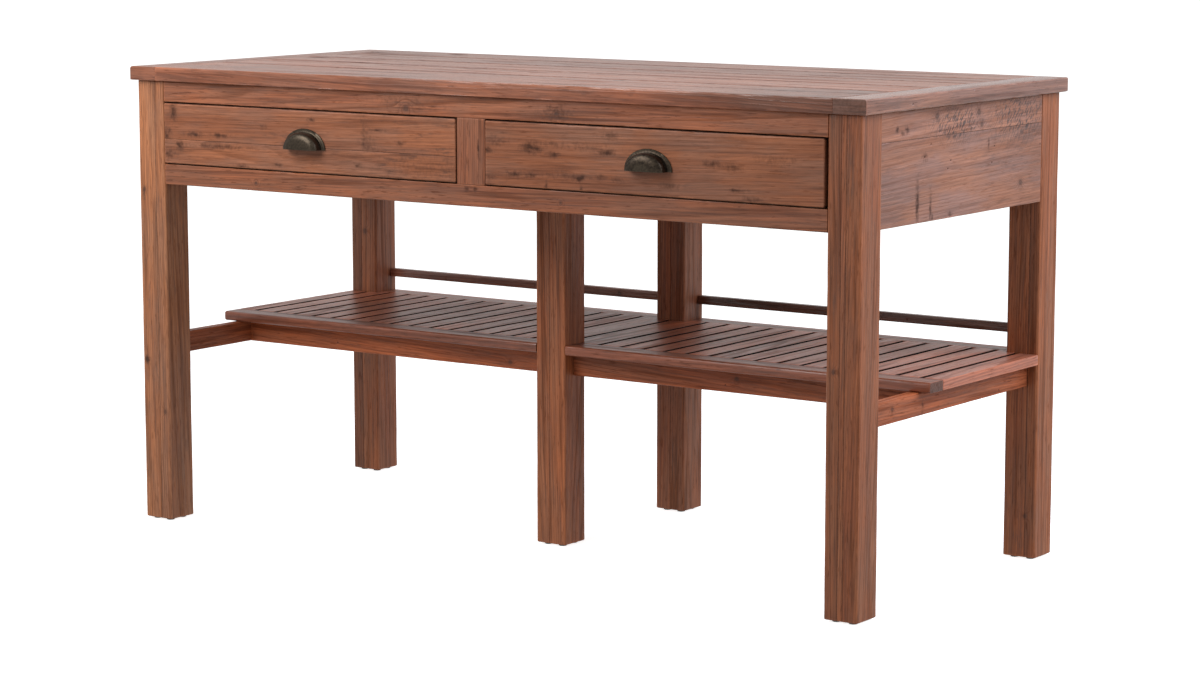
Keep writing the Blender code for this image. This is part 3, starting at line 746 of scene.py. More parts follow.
def wood_reads(tree, plain_along):
    """Place in the tree, and marks. Boards remember theirs; a plain solid's grain follows one axis."""
    if plain_along:
        wood = node(tree, "Mapping", {"Vector": own_place(tree), "Location": GRAIN_START,
                                      "Rotation": GRAIN_ALONG[plain_along]})
        far_knot = node(tree, "CombineXYZ", {"X": FAR_AWAY, "Y": FAR_AWAY})
        return wood, {"knot": far_knot, "stain": 0.0, "scuff": 0.0, "rub_and_highlight": 0.0, "tone": PLAIN_TONE}
    reads = {word: attribute(tree, word) for word in ("stain", "scuff", "rub_and_highlight", "tone")}
    reads["knot"] = attribute(tree, "knot", "Vector")
    return attribute(tree, "wood", "Vector"), reads


def stained_pine(name, pale, middle, deep, ring_gap=0.0055, figure=1.0, smudge=0.35, rough=0.48, gloss=0.43,
                 tone_span=0.3, streaks=85, plain_along=None):
    """A finish of stained pine in three dyes.

    The piece's tone brightens or darkens it by the tone span, fibres and scratches give its bump, and dark
    lines and blots are duller than the rest.
    """
    finish, tree, shader = new_finish(name)
    pale, middle, deep = ((*dye, 1) for dye in (pale, middle, deep))
    wood, reads = wood_reads(tree, plain_along)
    colour, bent, summer, fibre, lines = clean_wood(tree, wood, reads, pale, middle, deep,
                                                    ring_gap, figure, streaks)
    colour, scratched, blotched = worn_wood(tree, colour, wood, bent, reads, pale, smudge)
    shade = calc(tree, "MULTIPLY_ADD", reads["tone"], tone_span, 1 - tone_span / 2)
    tree.links.new(scaled(tree, colour, shade), shader.inputs["Base Color"])

    relief = calc(tree, "MULTIPLY_ADD", summer, SUMMER_RIDGE, calc(tree, "MULTIPLY", fibre, FIBRE_RIDGE))
    relief = calc(tree, "SUBTRACT", relief, calc(tree, "MULTIPLY", scratched, SCRATCH_DEPTH))
    tree.links.new(node(tree, "Bump", {"Height": relief, **BUMP}), shader.inputs["Normal"])

    dull = calc(tree, "MAXIMUM", blotched, calc(tree, "MULTIPLY", lines, LINES_DULL))
    uneven = calc(tree, "MULTIPLY_ADD", fibre, FIBRE_ROUGH, rough - FIBRE_ROUGH / 2)
    tree.links.new(calc(tree, "MULTIPLY_ADD", dull, DULL_ROUGH, uneven), shader.inputs["Roughness"])
    shine = calc(tree, "MULTIPLY_ADD", dull, -DULL_LOSS * gloss, gloss)
    tree.links.new(shine, shader.inputs["Specular IOR Level"])
    return finish


# %% The island's finishes
POST_PINE = stained_pine(
    "post_pine", (0.317, 0.101, 0.037), (0.239, 0.071, 0.026), (0.111, 0.030, 0.010),
    ring_gap=0.0045, gloss=0.48)
# paler, greyer dyes and more gloss for the front left post paint the lamp's light and sheen on it
LIT_POST_PINE = stained_pine(
    "lit_post_pine", (0.320, 0.128, 0.057), (0.241, 0.091, 0.041), (0.112, 0.038, 0.015),
    ring_gap=0.0045, gloss=0.52)
TOP_PINE = stained_pine(
    "top_pine", (0.320, 0.108, 0.052), (0.240, 0.078, 0.035), (0.114, 0.032, 0.015),
    ring_gap=0.0045, rough=0.30, gloss=0.60, streaks=36)
TOP_END_PINE = stained_pine(
    "top_end_pine", (0.253, 0.108, 0.069), (0.189, 0.077, 0.048), (0.092, 0.033, 0.020),
    ring_gap=0.0045, rough=0.22, gloss=0.65)
RAIL_PINE = stained_pine(
    "rail_pine", (0.328, 0.107, 0.044), (0.242, 0.075, 0.031), (0.103, 0.029, 0.012),
    ring_gap=0.0050, smudge=0.20, gloss=0.52)
FRONT_PINE = stained_pine(
    "drawer_front_pine", (0.362, 0.139, 0.070), (0.277, 0.102, 0.051), (0.134, 0.044, 0.024),
    figure=0.55, smudge=0.50, gloss=0.33)
PANEL_PINE = stained_pine(
    "panel_pine", (0.302, 0.136, 0.086), (0.237, 0.103, 0.063), (0.128, 0.051, 0.031),
    ring_gap=0.0040, figure=0.55, rough=0.55, gloss=0.45)
SHELF_PINE = stained_pine(
    "shelf_rail_pine", (0.370, 0.097, 0.033), (0.274, 0.068, 0.023), (0.116, 0.027, 0.009),
    ring_gap=0.0050, gloss=0.36)
DECK_PINE = stained_pine(
    "deck_pine", (0.425, 0.131, 0.067), (0.318, 0.096, 0.049), (0.130, 0.037, 0.018),
    rough=0.34, gloss=0.55, tone_span=0.45)
print("finishes:", [finish.name for finish in bpy.data.materials if finish.name.endswith("_pine")])

# %% [markdown]
# ## Posts
#
# Six square posts carry the island. The two in the middle of its length stand further back than the
# corners at the front. Each is glued up from strips, so a fine line runs up its faces, and the grain is
# straight. A plain box with a bevel would miss that line, so a post is a board like the others, as
# thick as it is wide. The front left post, beside the lamp, has a paler tone and a greyer finish that
# paint the lamp's light and sheen on it; the rear left and front right posts are painted darker, for
# the shade under the case and the distance from the lamp.

# %% Posts
FLOOR_GAP = 0.004        # the posts stand this far off the floor, on glides
POST_CUT = {"ease": 0.0035, "end_ease": 0.002, "cut": "quarter"}
POST_LIGHT_TONE = {"post_front_left": 1.1, "post_rear_left": -0.6, "post_front_right": -0.2}     # painted light beside the lamp, painted shade further off
POSTS = {
    "post_front_left": {
        "joints": [0.024],
        "knots": [(-0.81, 0.66, 0.0045), (-0.814, 0.323, 0.004), (-0.766, 0.22, 0.004)],
        "patches": [(-0.811, 0.647, 0.002, 0.010, 0.8), (-0.811, 0.321, 0.004, 0.005, 0.9)]},
    "post_front_right": {"joints": [0.030, 0.040], "knots": [(0.77, 0.436, 0.004)]},
    "post_rear_left": {"joints": [0.040], "knots": [(-0.785, 0.52, 0.005)]},
    "post_rear_right": {"joints": [0.022], "knots": [(0.80, 0.083, 0.004)]},
    "post_middle_rear": {"joints": [0.033], "knots": [(-0.01, 0.60, 0.004)]},
}
for name, marks in POSTS.items():
    low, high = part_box(name)
    made = board(name, (low[0], low[1], FLOOR_GAP), high, "z", "-y", step=0.005, side_step=0.004,
                 **POST_CUT, **marks)
    made[1]["tone"] += POST_LIGHT_TONE.get(name, 0.0)
    dress_frame(name, [made], LIT_POST_PINE if name == "post_front_left" else POST_PINE)

# %% The forked post
FIT = 0.0003             # room between two pieces that meet
low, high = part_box("post_middle_front")
part_low, part_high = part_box("centre_partition")
fork_from = part_low[2] - FIT      # above this height the post forks round the partition
forked = [
    board("fork_foot", (low[0], low[1], FLOOR_GAP), (high[0], high[1], fork_from), "z", "-y",
          joints=[0.036], **POST_CUT),
    board("fork_left", (low[0], low[1], fork_from), (part_low[0] - FIT, high[1], high[2]), "z", "-y",
          cut="quarter"),
    board("fork_right", (part_high[0] + FIT, low[1], fork_from), high, "z", "-y", cut="quarter"),
]
dress_frame("post_middle_front", forked, POST_PINE)

# %% [markdown]
# ## Glides
#
# Four small black discs are nailed under every post. A cylinder would show a hard rim, and a disc is a
# turned shape: its outline, a flat sole with a rounded rim, is carried once round.

# %% Glides under the posts
GLIDE_RADIUS = 0.008
GLIDE_ROUND = 0.0012     # radius of the rim
GLIDE_SOLE = 0.2         # the sole's inmost ring and the neck, as shares of the radius
GLIDE_NECK = 0.94
GLIDE_POINTS = 20
GLIDE_INSET = 0.017      # from the post's faces to a glide's middle
SOLE_RUB = 0.001         # the floor rubs a glide up to this height
GLIDE_GREYS = (0.010, 0.010, 0.010, 1), (0.026, 0.025, 0.024, 1)
GLIDE_DUST, DUST_SHARE = (0.06, 0.055, 0.05, 1), 0.5
GLIDE_SPECKS = ((700, 700, 700), 3.0, 0.6)
GLIDE_ROUGH, SPECK_ROUGH = 0.45, 0.3


def glide(x, y):
    """Outline (radius, height) turned round the upright axis: x + r cos a, y + r sin a, z = height."""
    rim = GLIDE_RADIUS - GLIDE_ROUND * (1 - np.sin(QUARTER_TURN))
    radius = np.concatenate([[GLIDE_RADIUS * GLIDE_SOLE], rim, [GLIDE_RADIUS * GLIDE_NECK]])
    height = np.concatenate([[0.0], GLIDE_ROUND * (1 - np.cos(QUARTER_TURN)), [FLOOR_GAP]])
    angle = np.linspace(0, 2 * np.pi, GLIDE_POINTS, endpoint=False)
    grid = np.stack([x + radius[:, None] * np.cos(angle), y + radius[:, None] * np.sin(angle),
                     height[:, None] + 0 * angle], axis=-1)
    return grid, {"rub_and_highlight": np.repeat((height < SOLE_RUB)[:, None], len(angle), axis=1).astype(float)}


def black_glide_finish():
    """Dull black plastic with a dusty sole: dark grey by noise, paler where it rubs on the floor."""
    finish, tree, shader = new_finish("glide_black")
    speck = clouds(tree, own_place(tree), *GLIDE_SPECKS)
    colour = blend(tree, speck, *GLIDE_GREYS)
    colour = lay(tree, colour, attribute(tree, "rub_and_highlight"), DUST_SHARE, GLIDE_DUST)
    tree.links.new(colour, shader.inputs["Base Color"])
    tree.links.new(calc(tree, "MULTIPLY_ADD", speck, SPECK_ROUGH, GLIDE_ROUGH), shader.inputs["Roughness"])
    return finish


GLIDE_BLACK = black_glide_finish()
for name in [*POSTS, "post_middle_front"]:
    low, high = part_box(name)
    feet = [glide(x, y) for x in (low[0] + GLIDE_INSET, high[0] - GLIDE_INSET)
            for y in (low[1] + GLIDE_INSET, high[1] - GLIDE_INSET)]
    dress("glides_" + name, feet, GLIDE_BLACK, "frame", [name])

# %% [markdown]
# ## Worktop
#
# Five planks run the length of the top between two boards that cross its ends and keep the planks flat.
# One slab with painted lines would look flat at a low angle, so each plank is a board of its own: its
# broken edges, the grime between two planks and the shade painted along the seams read as a fine dark
# line. At the front corners the stain hides the ends of the crossing boards, and the figure of the front
# edge seems to run on to the corner.

# %% Marks on the worktop
JOINT_SHADE = (0.006, 3.0, 0.80)    # dirt along a plank joint: half its width, half its length, strength
FRONT_PLANK_TONE = np.array([            # how much paler or darker the front plank is at places along it
    (-0.75, 0.0), (-0.60, -0.8), (-0.45, -0.5), (-0.17, -0.8),
    (0.10, -0.2), (0.38, 0.4), (0.60, -1.4), (0.75, -1.8)])
TOP_PATCHES = [                     # x, y, half width, half length, strength
    (-0.38, -0.165, 0.008, 0.10, 0.9), (-0.545, -0.012, 0.008, 0.05, 0.8), (-0.725, 0.08, 0.008, 0.02, 0.9),
    (-0.76, 0.30, 0.010, 0.02, 0.9), (-0.547, 0.322, 0.010, 0.012, 0.9), (-0.24, -0.04, 0.006, 0.03, 0.6),
    (0.16, -0.326, 0.005, 0.06, 0.7), (0.51, -0.245, 0.005, 0.15, 0.6), (0.45, 0.153, 0.008, 0.025, 0.8),
    (0.44, 0.232, 0.008, 0.014, 0.8)]
TOP_KNOTS = [(0.21, -0.183, 0.010), (-0.45, 0.02, 0.007), (0.52, 0.30, 0.007), (-0.62, -0.29, 0.006)]


def lying_on(marks, low, high):
    """The marks (x, y, ...) that lie on a board."""
    return [mark for mark in marks if low[0] < mark[0] < high[0] and low[1] < mark[1] < high[1]]


print("worktop:", len(TOP_PATCHES), "blots and", len(TOP_KNOTS), "knots")

# %% Worktop planks
TOP_CUTS = ("rift", "plain", "rift", "plain", "rift")       # one for each plank, from the front
OUTER_EASE = [0.0014, 0.0012]       # upper and lower arris of the worktop's rim
INNER_EASE = [0.0020, 0.0010]       # where planks meet
END_JOINT_EASE = 0.0002             # where planks meet the end boards
GLUED = 0.0001                      # and the room that is left there
PLANK_SCAR = 0.0010
# grime, and painted shade, on the sides where two planks meet
SEAM_SHADE_AND_DIRT = 0.6
end_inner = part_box("top_end_left")[1][0] + GLUED

for number, cut in enumerate(TOP_CUTS):
    name = "top_plank_%d" % (number + 1)
    low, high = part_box(name)
    is_front, is_rear = number == 0, number == len(TOP_CUTS) - 1
    front, rear = OUTER_EASE if is_front else INNER_EASE, OUTER_EASE if is_rear else INNER_EASE
    seams = ([] if is_front else [low[1]]) + ([] if is_rear else [high[1]])
    shades = [(0, seam, *JOINT_SHADE) for seam in seams]
    made = board(name, (end_inner, low[1], low[2]), (-end_inner, high[1], high[2]), "x", "z",
                 ease=[rear[1], rear[0], front[0], front[1]], end_ease=END_JOINT_EASE, cut=cut,
                 scar=PLANK_SCAR, patches=lying_on(TOP_PATCHES, low, high) + shades,
                 knots=lying_on(TOP_KNOTS, low, high), chance=(1, 1),
                 gap_shade_and_dirt=(0 if is_front else SEAM_SHADE_AND_DIRT, 0 if is_rear else SEAM_SHADE_AND_DIRT))
    if is_front:
        made[1]["tone"] += np.interp(made[0][..., 0], FRONT_PLANK_TONE[:, 0], FRONT_PLANK_TONE[:, 1])
    dress_frame(name, [made], TOP_PINE)

# %% Worktop end boards
END_BOARDS = {           # show face, its two arrises, finish, and tone and stain of the front end
    "top_end_left": ("-x", [0.0012, 0.0035], TOP_PINE, 0.5, 0.0),
    "top_end_right": ("x", [0.0028, 0.0025], TOP_END_PINE, -0.5, 0.45),
}
END_NAILS = {"top_end_left": [(-0.15, 0.889, *NAIL), (0.12, 0.884, *NAIL)],
             "top_end_right": [(-0.202, 0.885, *NAIL), (0.015, 0.899, *NAIL)]}
END_SCAR = 0.0016
for name, (face, outer, finish, cap_tone, cap_stain) in END_BOARDS.items():
    made = board(name, *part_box(name), "y", face, ease=[END_JOINT_EASE, *outer, END_JOINT_EASE],
                 scar=END_SCAR, holes=END_NAILS[name], side_step=0.004)
    made[1]["tone"][0] += cap_tone
    made[1]["wood"][0] = made[1]["wood"][0][:, [0, 2, 1]]      # the front's grain runs on to the corner
    made[1]["stain"][0] = cap_stain
    dress_frame(name, [made], finish)

# %% [markdown]
# ## Front frame
#
# Two rails tenoned into the corner posts and a short stile between them make the openings for the
# drawers. Their solids have the tenons, which nobody sees; a rail that is drawn only from post to post
# has cleaner ends. The arrises along the drawers are crisp, because a round edge there would blur the
# dark line of the gap.

# %% Front rails and stile
GAP_EASE = 0.0008                   # a crisp arris along the drawers
TOP_RAIL_EASE = 0.0010              # and the arrises under the worktop, and below the drawers
BOTTOM_RAIL_EASE = 0.0022
FRONT_RAILS = {
    "front_top_rail": {
        "ease": [TOP_RAIL_EASE, TOP_RAIL_EASE, GAP_EASE, GAP_EASE],
        "knots": [(-0.153, 0.846, 0.006), (0.19, 0.851, 0.004)],
        "patches": [(0.19, 0.85, 0.012, 0.025, 0.45), (-0.15, 0.856, 0.008, 0.05, 0.3)]},
    "front_bottom_rail": {
        "ease": [GAP_EASE, GAP_EASE, BOTTOM_RAIL_EASE, BOTTOM_RAIL_EASE],
        "knots": [(0.199, 0.692, 0.0025), (-0.52, 0.688, 0.003)],
        "patches": [(-0.012, 0.705, 0.003, 0.003, 0.9), (0.008, 0.705, 0.003, 0.003, 0.9)]},
}


def between_neighbours(name, along, first, last):
    """A solid's box, cut along the grain to the room between two neighbours, without its tenons."""
    axis = "xyz".index(along)
    low, high = (np.array(corner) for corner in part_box(name))
    low[axis], high[axis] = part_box(first)[1][axis] + FIT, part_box(last)[0][axis] - FIT
    return low, high


for name, looks in FRONT_RAILS.items():
    ends = between_neighbours(name, "x", "post_front_left", "post_front_right")
    made = board(name, *ends, "x", "-y", cut="plain", step=0.004, side_step=0.003, **looks)
    dress_frame(name, [made], RAIL_PINE)
ends = between_neighbours("centre_stile", "z", "front_bottom_rail", "front_top_rail")
made = board("centre_stile", *ends, "z", "-y", ease=GAP_EASE, cut="quarter", step=0.004, side_step=0.002,
             patches=[(0.0145, 0.78, 0.0012, 0.010, 1.0)])
dress_frame("centre_stile", [made], RAIL_PINE)

# %% [markdown]
# ## Panels
#
# Wide boards close the ends and the back. Each is glued from two, and the timber had a life before:
# nail holes, dark iron stains round them, and patches where an old saw has torn the face. Random marks
# would do for a panel that is seldom seen. The right-hand one faces the camera, so its marks are listed
# one by one.

# %% Marks on the right-hand panel
PANEL_MARKS = {          # places are y and z; then a radius, or half height, half length and strength
    "holes": [(place_y, height, *NAIL) for place_y, height in (
        (-0.134, 0.789), (-0.041, 0.777), (-0.051, 0.763), (0.111, 0.762), (0.120, 0.791), (0.297, 0.783),
        (-0.112, 0.810))],
    "knots": [(-0.092, 0.858, 0.006), (0.060, 0.856, 0.006), (0.071, 0.833, 0.005), (0.222, 0.718, 0.006)],
    "patches": [(-0.231, 0.842, 0.003, 0.004, 0.9), (-0.211, 0.835, 0.003, 0.004, 0.9),
                (-0.134, 0.789, 0.007, 0.007, 0.45), (-0.197, 0.840, 0.004, 0.004, 0.9),
                (0.098, 0.796, 0.007, 0.002, 0.9), (-0.158, 0.712, 0.028, 0.004, 0.7),
                (-0.112, 0.697, 0.020, 0.003, 0.7), (-0.105, 0.678, 0.006, 0.002, 0.9),
                (-0.041, 0.682, 0.004, 0.005, 0.7)],
    "scuffs": [(-0.018, 0.841, 0.016, 0.045, 1.2), (0.212, 0.845, 0.024, 0.055, 1.2),
               (0.03, 0.846, 0.010, 0.020, 0.8)],
}
print("right-hand panel:", {word: len(marks) for word, marks in PANEL_MARKS.items()})

# %% End and back panels
END_PANELS = {           # outward face, glue line and marks
    "left": ("-x", 0.053, {"chance": (3, 6)}),
    "right": ("x", 0.147, PANEL_MARKS),
}
BACK_PANELS = {          # the posts on either side
    "left": ("post_rear_left", "post_middle_rear"),
    "right": ("post_middle_rear", "post_rear_right"),
}
for side, (outward, joint, marks) in END_PANELS.items():
    name = "end_panel_" + side
    ends = between_neighbours(name, "y", "post_front_" + side, "post_rear_" + side)
    made = board(name, *ends, "y", outward, ease=0.0012, cut="plain", joints=[joint], step=0.003,
                 side_step=0.003, **marks)
    dress_frame(name, [made], PANEL_PINE)
for side, posts in BACK_PANELS.items():
    name = "back_panel_" + side
    made = board(name, *between_neighbours(name, "x", *posts), "x", "y", cut="plain", joints=[0.085],
                 chance=(3, 5))
    dress_frame(name, [made], PANEL_PINE)

# %% [markdown]
# ## Shelf
#
# Stretchers and aprons carry a deck of short slats that run from front to back between two long boards.
# The deck stands back from the front, and is cut out round the posts. A slim rail behind it keeps
# things from falling off. Slots could be cut through one wide board, but on the real shelf each slat
# has its own grain and its own shade, so here too every slat is a board.

# %% Stretchers, aprons and gallery rails
SHELF_RAILS = {          # grain, show face, and the neighbours at both ends
    "end_stretcher_left": ("y", "-x", "post_front_left", "post_rear_left"),
    "end_stretcher_right": ("y", "x", "post_front_right", "post_rear_right"),
    "middle_stretcher": ("y", "x", "post_middle_front", "post_middle_rear"),
    "rear_apron_left": ("x", "y", "post_rear_left", "post_middle_rear"),
    "rear_apron_right": ("x", "y", "post_middle_rear", "post_rear_right"),
    "gallery_rail_left": ("x", "-y", "post_rear_left", "post_middle_rear"),
    "gallery_rail_right": ("x", "-y", "post_middle_rear", "post_rear_right"),
    "front_apron_left": ("x", "-y", "end_stretcher_left", "post_middle_front"),
    "front_apron_right": ("x", "-y", "post_middle_front", "end_stretcher_right"),
}
SHELF_TONE = {"gallery_rail_left": 2.0, "gallery_rail_right": -1.2}
SHELF_BLOTS = {"end_stretcher_right": [(-0.092, 0.346, 0.013, 0.003, 0.5)]}
for name, (along, face, first, last) in SHELF_RAILS.items():
    ends = between_neighbours(name, along, first, last)
    made = board(name, *ends, along, face, ease=0.0015, chance=(1, 1), patches=SHELF_BLOTS.get(name, ()))
    made[1]["tone"] += SHELF_TONE.get(name, 0.0)
    dress_frame(name, [made], TOP_END_PINE if "gallery" in name else SHELF_PINE)

# %% Borders of the decks
BORDER = 0.048                                   # width of the boards that hold the slats
DECK_EASE = 0.0007
NOSE_EASE = [DECK_EASE, 0.0010, 0.0045, 0.0045]  # the front board's nose is rounder
NOSE_TONE = -0.7                                 # and is darker than the slats


def mirrored(sign, near, far, front, rear, low, high):
    """A board's corners from its distances to the island's middle, on the left (-1) or the right (1)."""
    xs = sorted((sign * near, sign * far))
    return (xs[0], front, low[2]), (xs[1], rear, high[2])


def deck_borders(side, sign, low, high, clear, reach, post_in):
    """The front board runs to the deck's end, the rear one to the corner post."""
    front_ends = mirrored(sign, clear, reach, low[1], low[1] + BORDER - FIT, low, high)
    rear_ends = mirrored(sign, clear, post_in, high[1] - BORDER, high[1], low, high)
    front = board(side + " border 0", *front_ends, "x", "z", ease=NOSE_EASE)
    rear = board(side + " border 1", *rear_ends, "x", "z", ease=DECK_EASE)
    front[1]["tone"] += NOSE_TONE
    return [front, rear]


print("borders are", BORDER, "wide")

# %% Slats of the decks
SLAT_CUTS = ["plain", "rift", "quarter"]
SLAT_END_EASE = 0.001
SLATS = 16
SLOT = 0.009
FIRST_SLOT = 0.078       # from the island's middle to the first slot, and from the last slot to the end
LAST_SLOT = 0.044
SLOT_SHADE = 1.7          # the sides of the slots are painted dark, for the shade deep inside them
DECK_KNOTS = [(0.231, 0.114, 0.006), (0.235, 0.173, 0.005), (0.38, 0.218, 0.006), (0.337, -0.004, 0.005),
              (-0.31, 0.05, 0.006), (-0.56, 0.16, 0.005), (-0.12, 0.22, 0.005)]
PAST_END = 1.0           # a notch that runs out at the slat's end stops beyond it


def slat_notches(side, sign, near, far, front, clear, post_in):
    """Where a slat gives way to the middle posts or the corner post, along it and across it."""
    if near < clear:
        kept = (0, far - clear) if sign > 0 else (clear - near, far - near)
        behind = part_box("post_middle_front")[1][1] + FIT - front
        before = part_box("post_middle_rear")[0][1] - FIT - front
        return [(0, behind, *kept), (before, PAST_END, *kept)]
    if near < post_in < far:
        kept = (far - post_in, far - near) if sign > 0 else (0, post_in - near)
        return [(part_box("post_rear_" + side)[0][1] - FIT - front, PAST_END, *kept)]
    return []


def deck(side, sign):
    """One bay's boards: front and rear borders along x, and slats along y with notches for the posts."""
    low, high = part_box("shelf_deck_" + side)
    rear_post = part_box("post_rear_" + side)
    reach = high[0] if sign > 0 else -low[0]
    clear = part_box("post_middle_front")[1][0] + FIT
    post_in = (rear_post[0][0] if sign > 0 else -rear_post[1][0]) - FIT
    made = deck_borders(side, sign, low, high, clear, reach, post_in)
    slots = np.linspace(FIRST_SLOT, reach - LAST_SLOT, SLATS - 1)
    cuts = np.concatenate([[0], slots, [reach + SLOT / 2]])
    front, rear = low[1] + BORDER, high[1] - BORDER
    for number in range(SLATS):
        near, far = cuts[number] + SLOT / 2, cuts[number + 1] - SLOT / 2
        outer = 0 if number == SLATS - 1 else SLOT_SHADE
        back = rear_post[0][1] - FIT if near > post_in else rear - FIT
        ends = mirrored(sign, near, far, front + FIT, back, low, high)
        notches = slat_notches(side, sign, near, far, front, clear, post_in)
        made.append(board("%s slat %d" % (side, number), *ends, "y", "z", ease=DECK_EASE,
                          end_ease=SLAT_END_EASE, cut=SLAT_CUTS[number % len(SLAT_CUTS)],
                          knots=lying_on(DECK_KNOTS, *ends), step=0.008, side_step=0.007, notches=notches,
                          gap_shade_and_dirt=(SLOT_SHADE, outer) if sign < 0 else (outer, SLOT_SHADE)))
    return made


for side, sign in (("left", -1), ("right", 1)):
    dress_frame("shelf_deck_" + side, deck(side, sign), DECK_PINE)

# %% [markdown]
# ## Drawer fronts
#
# The fronts sit inside the frame with a narrow gap all round. They are the most scarred boards of the
# island, dark with stains from old nails; the left one is glued from two boards. The scars could be
# left to chance, but these are the boards one looks at first, so the blots are listed one by one.

# %% Marks on the drawer fronts
LEFT_BLOTS = [           # x, z, half height, half length, strength
    (-0.728, 0.819, 0.012, 0.006, 0.8), (-0.748, 0.775, 0.009, 0.008, 0.8),
    (-0.674, 0.774, 0.003, 0.015, 0.7), (-0.609, 0.775, 0.003, 0.016, 0.7),
    (-0.713, 0.751, 0.005, 0.007, 0.7), (-0.738, 0.733, 0.005, 0.010, 0.6),
    (-0.615, 0.754, 0.003, 0.045, 0.6), (-0.499, 0.796, 0.003, 0.007, 0.6),
    (-0.379, 0.815, 0.003, 0.006, 0.7), (-0.553, 0.718, 0.003, 0.012, 0.6),
    (-0.462, 0.725, 0.002, 0.006, 0.8), (-0.264, 0.734, 0.002, 0.006, 0.9),
    (-0.251, 0.802, 0.022, 0.006, 0.34), (-0.244, 0.790, 0.012, 0.010, 0.25),
    (-0.249, 0.776, 0.007, 0.008, 0.55), (-0.236, 0.768, 0.005, 0.010, 0.5),
    (-0.221, 0.803, 0.002, 0.012, 0.6), (-0.163, 0.781, 0.003, 0.006, 0.6),
    (-0.050, 0.738, 0.020, 0.030, 0.24), (-0.120, 0.742, 0.018, 0.080, 0.19)]
RIGHT_BLOTS = [
    (0.036, 0.779, 0.003, 0.009, 0.9), (0.048, 0.796, 0.006, 0.022, 0.4),
    (0.136, 0.788, 0.006, 0.013, 0.8), (0.141, 0.797, 0.004, 0.006, 0.5),
    (0.175, 0.796, 0.004, 0.030, 0.4), (0.183, 0.777, 0.004, 0.010, 0.6),
    (0.302, 0.788, 0.004, 0.012, 0.8), (0.250, 0.795, 0.005, 0.050, 0.3),
    (0.100, 0.738, 0.004, 0.013, 0.6), (0.137, 0.738, 0.003, 0.009, 0.7),
    (0.205, 0.740, 0.003, 0.045, 0.4), (0.241, 0.739, 0.004, 0.010, 0.8),
    (0.291, 0.742, 0.003, 0.008, 0.6), (0.324, 0.739, 0.003, 0.008, 0.6),
    (0.040, 0.731, 0.004, 0.010, 0.5), (0.202, 0.745, 0.010, 0.010, 0.25),
    (0.170, 0.717, 0.007, 0.002, 0.8), (0.246, 0.717, 0.004, 0.002, 0.8),
    (0.308, 0.817, 0.005, 0.014, 0.4), (0.436, 0.734, 0.003, 0.014, 0.5),
    (0.523, 0.777, 0.004, 0.012, 0.6), (0.563, 0.774, 0.004, 0.014, 0.5),
    (0.571, 0.735, 0.002, 0.012, 0.8), (0.602, 0.721, 0.003, 0.014, 0.6),
    (0.660, 0.790, 0.006, 0.030, 0.3)]
print("blots on the drawer fronts:", len(LEFT_BLOTS), "and", len(RIGHT_BLOTS))

# %% Drawer fronts
FRONT_MARKS = {          # glue lines and blots
    "left": ([0.048], LEFT_BLOTS),
    "right": ([], RIGHT_BLOTS),
}
FRONT_EASE = 0.0022
DRAWER_GAP_SHADE = 0.9         # the gap round a drawer is painted dark with shade
for side, (joints, patches) in FRONT_MARKS.items():
    name = "drawer_%s_front" % side
    made = board(name, *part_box(name), "x", "-y", ease=FRONT_EASE, end_ease=FRONT_EASE, cut="plain",
                 joints=joints, patches=patches, step=0.003, side_step=0.0025,
                 gap_shade_and_dirt=(DRAWER_GAP_SHADE, DRAWER_GAP_SHADE))
    dress("pine_" + name, [made], FRONT_PINE, "drawer_" + side, [name])

# %% [markdown]
# ## Cup pulls
#
# Each drawer has a half-round cup pull of dark antique brass: a domed hood with a flat rim, open below
# for the fingers. It could be cut from a ball with booleans, which leaves untidy edges. A hood is half
# of a turned bowl, so its section is carried half way round the axis that sticks out of the drawer, and
# squeezed in height.

# %% Antique brass
BRASS_DARK, BRASS_BROWN = (0.020, 0.014, 0.010, 1), (0.047, 0.034, 0.023, 1)
BRASS_BRIGHT = (0.10, 0.080, 0.056, 1)
PATINA = ((260, 260, 260), 4.0, 0.6)         # patches in a metre, their detail and roughness
PATINA_LIMITS = (0.35, 0.65)                 # noise where the brown starts and is full
RUB_AND_LIGHT_BRASS = 0.40                          # how strongly rubbed places, and the painted light, are bright
BRASS_ROUGH, PATINA_ROUGH = 0.20, 0.25
BRASS_METAL = 0.9
BRASS_BUMP = {"Strength": 0.2, "Distance": 0.0004}


def antique_brass():
    """Brown-black brass: patina patches by noise, brighter where hands rubbed it and where light is painted.
    """
    finish, tree, shader = new_finish("antique_brass")
    patina = clouds(tree, own_place(tree), *PATINA)
    colour = blend(tree, between(tree, patina, *PATINA_LIMITS), BRASS_DARK, BRASS_BROWN)
    # brighter metal where rubbed, and over the whole left pull as painted light
    colour = lay(tree, colour, attribute(tree, "rub_and_highlight"), RUB_AND_LIGHT_BRASS, BRASS_BRIGHT)
    tree.links.new(colour, shader.inputs["Base Color"])
    tree.links.new(calc(tree, "MULTIPLY_ADD", patina, PATINA_ROUGH, BRASS_ROUGH), shader.inputs["Roughness"])
    shader.inputs["Metallic"].default_value = BRASS_METAL
    tree.links.new(node(tree, "Bump", {"Height": patina, **BRASS_BUMP}), shader.inputs["Normal"])
    return finish


BRASS = antique_brass()
print("metal:", BRASS.name)

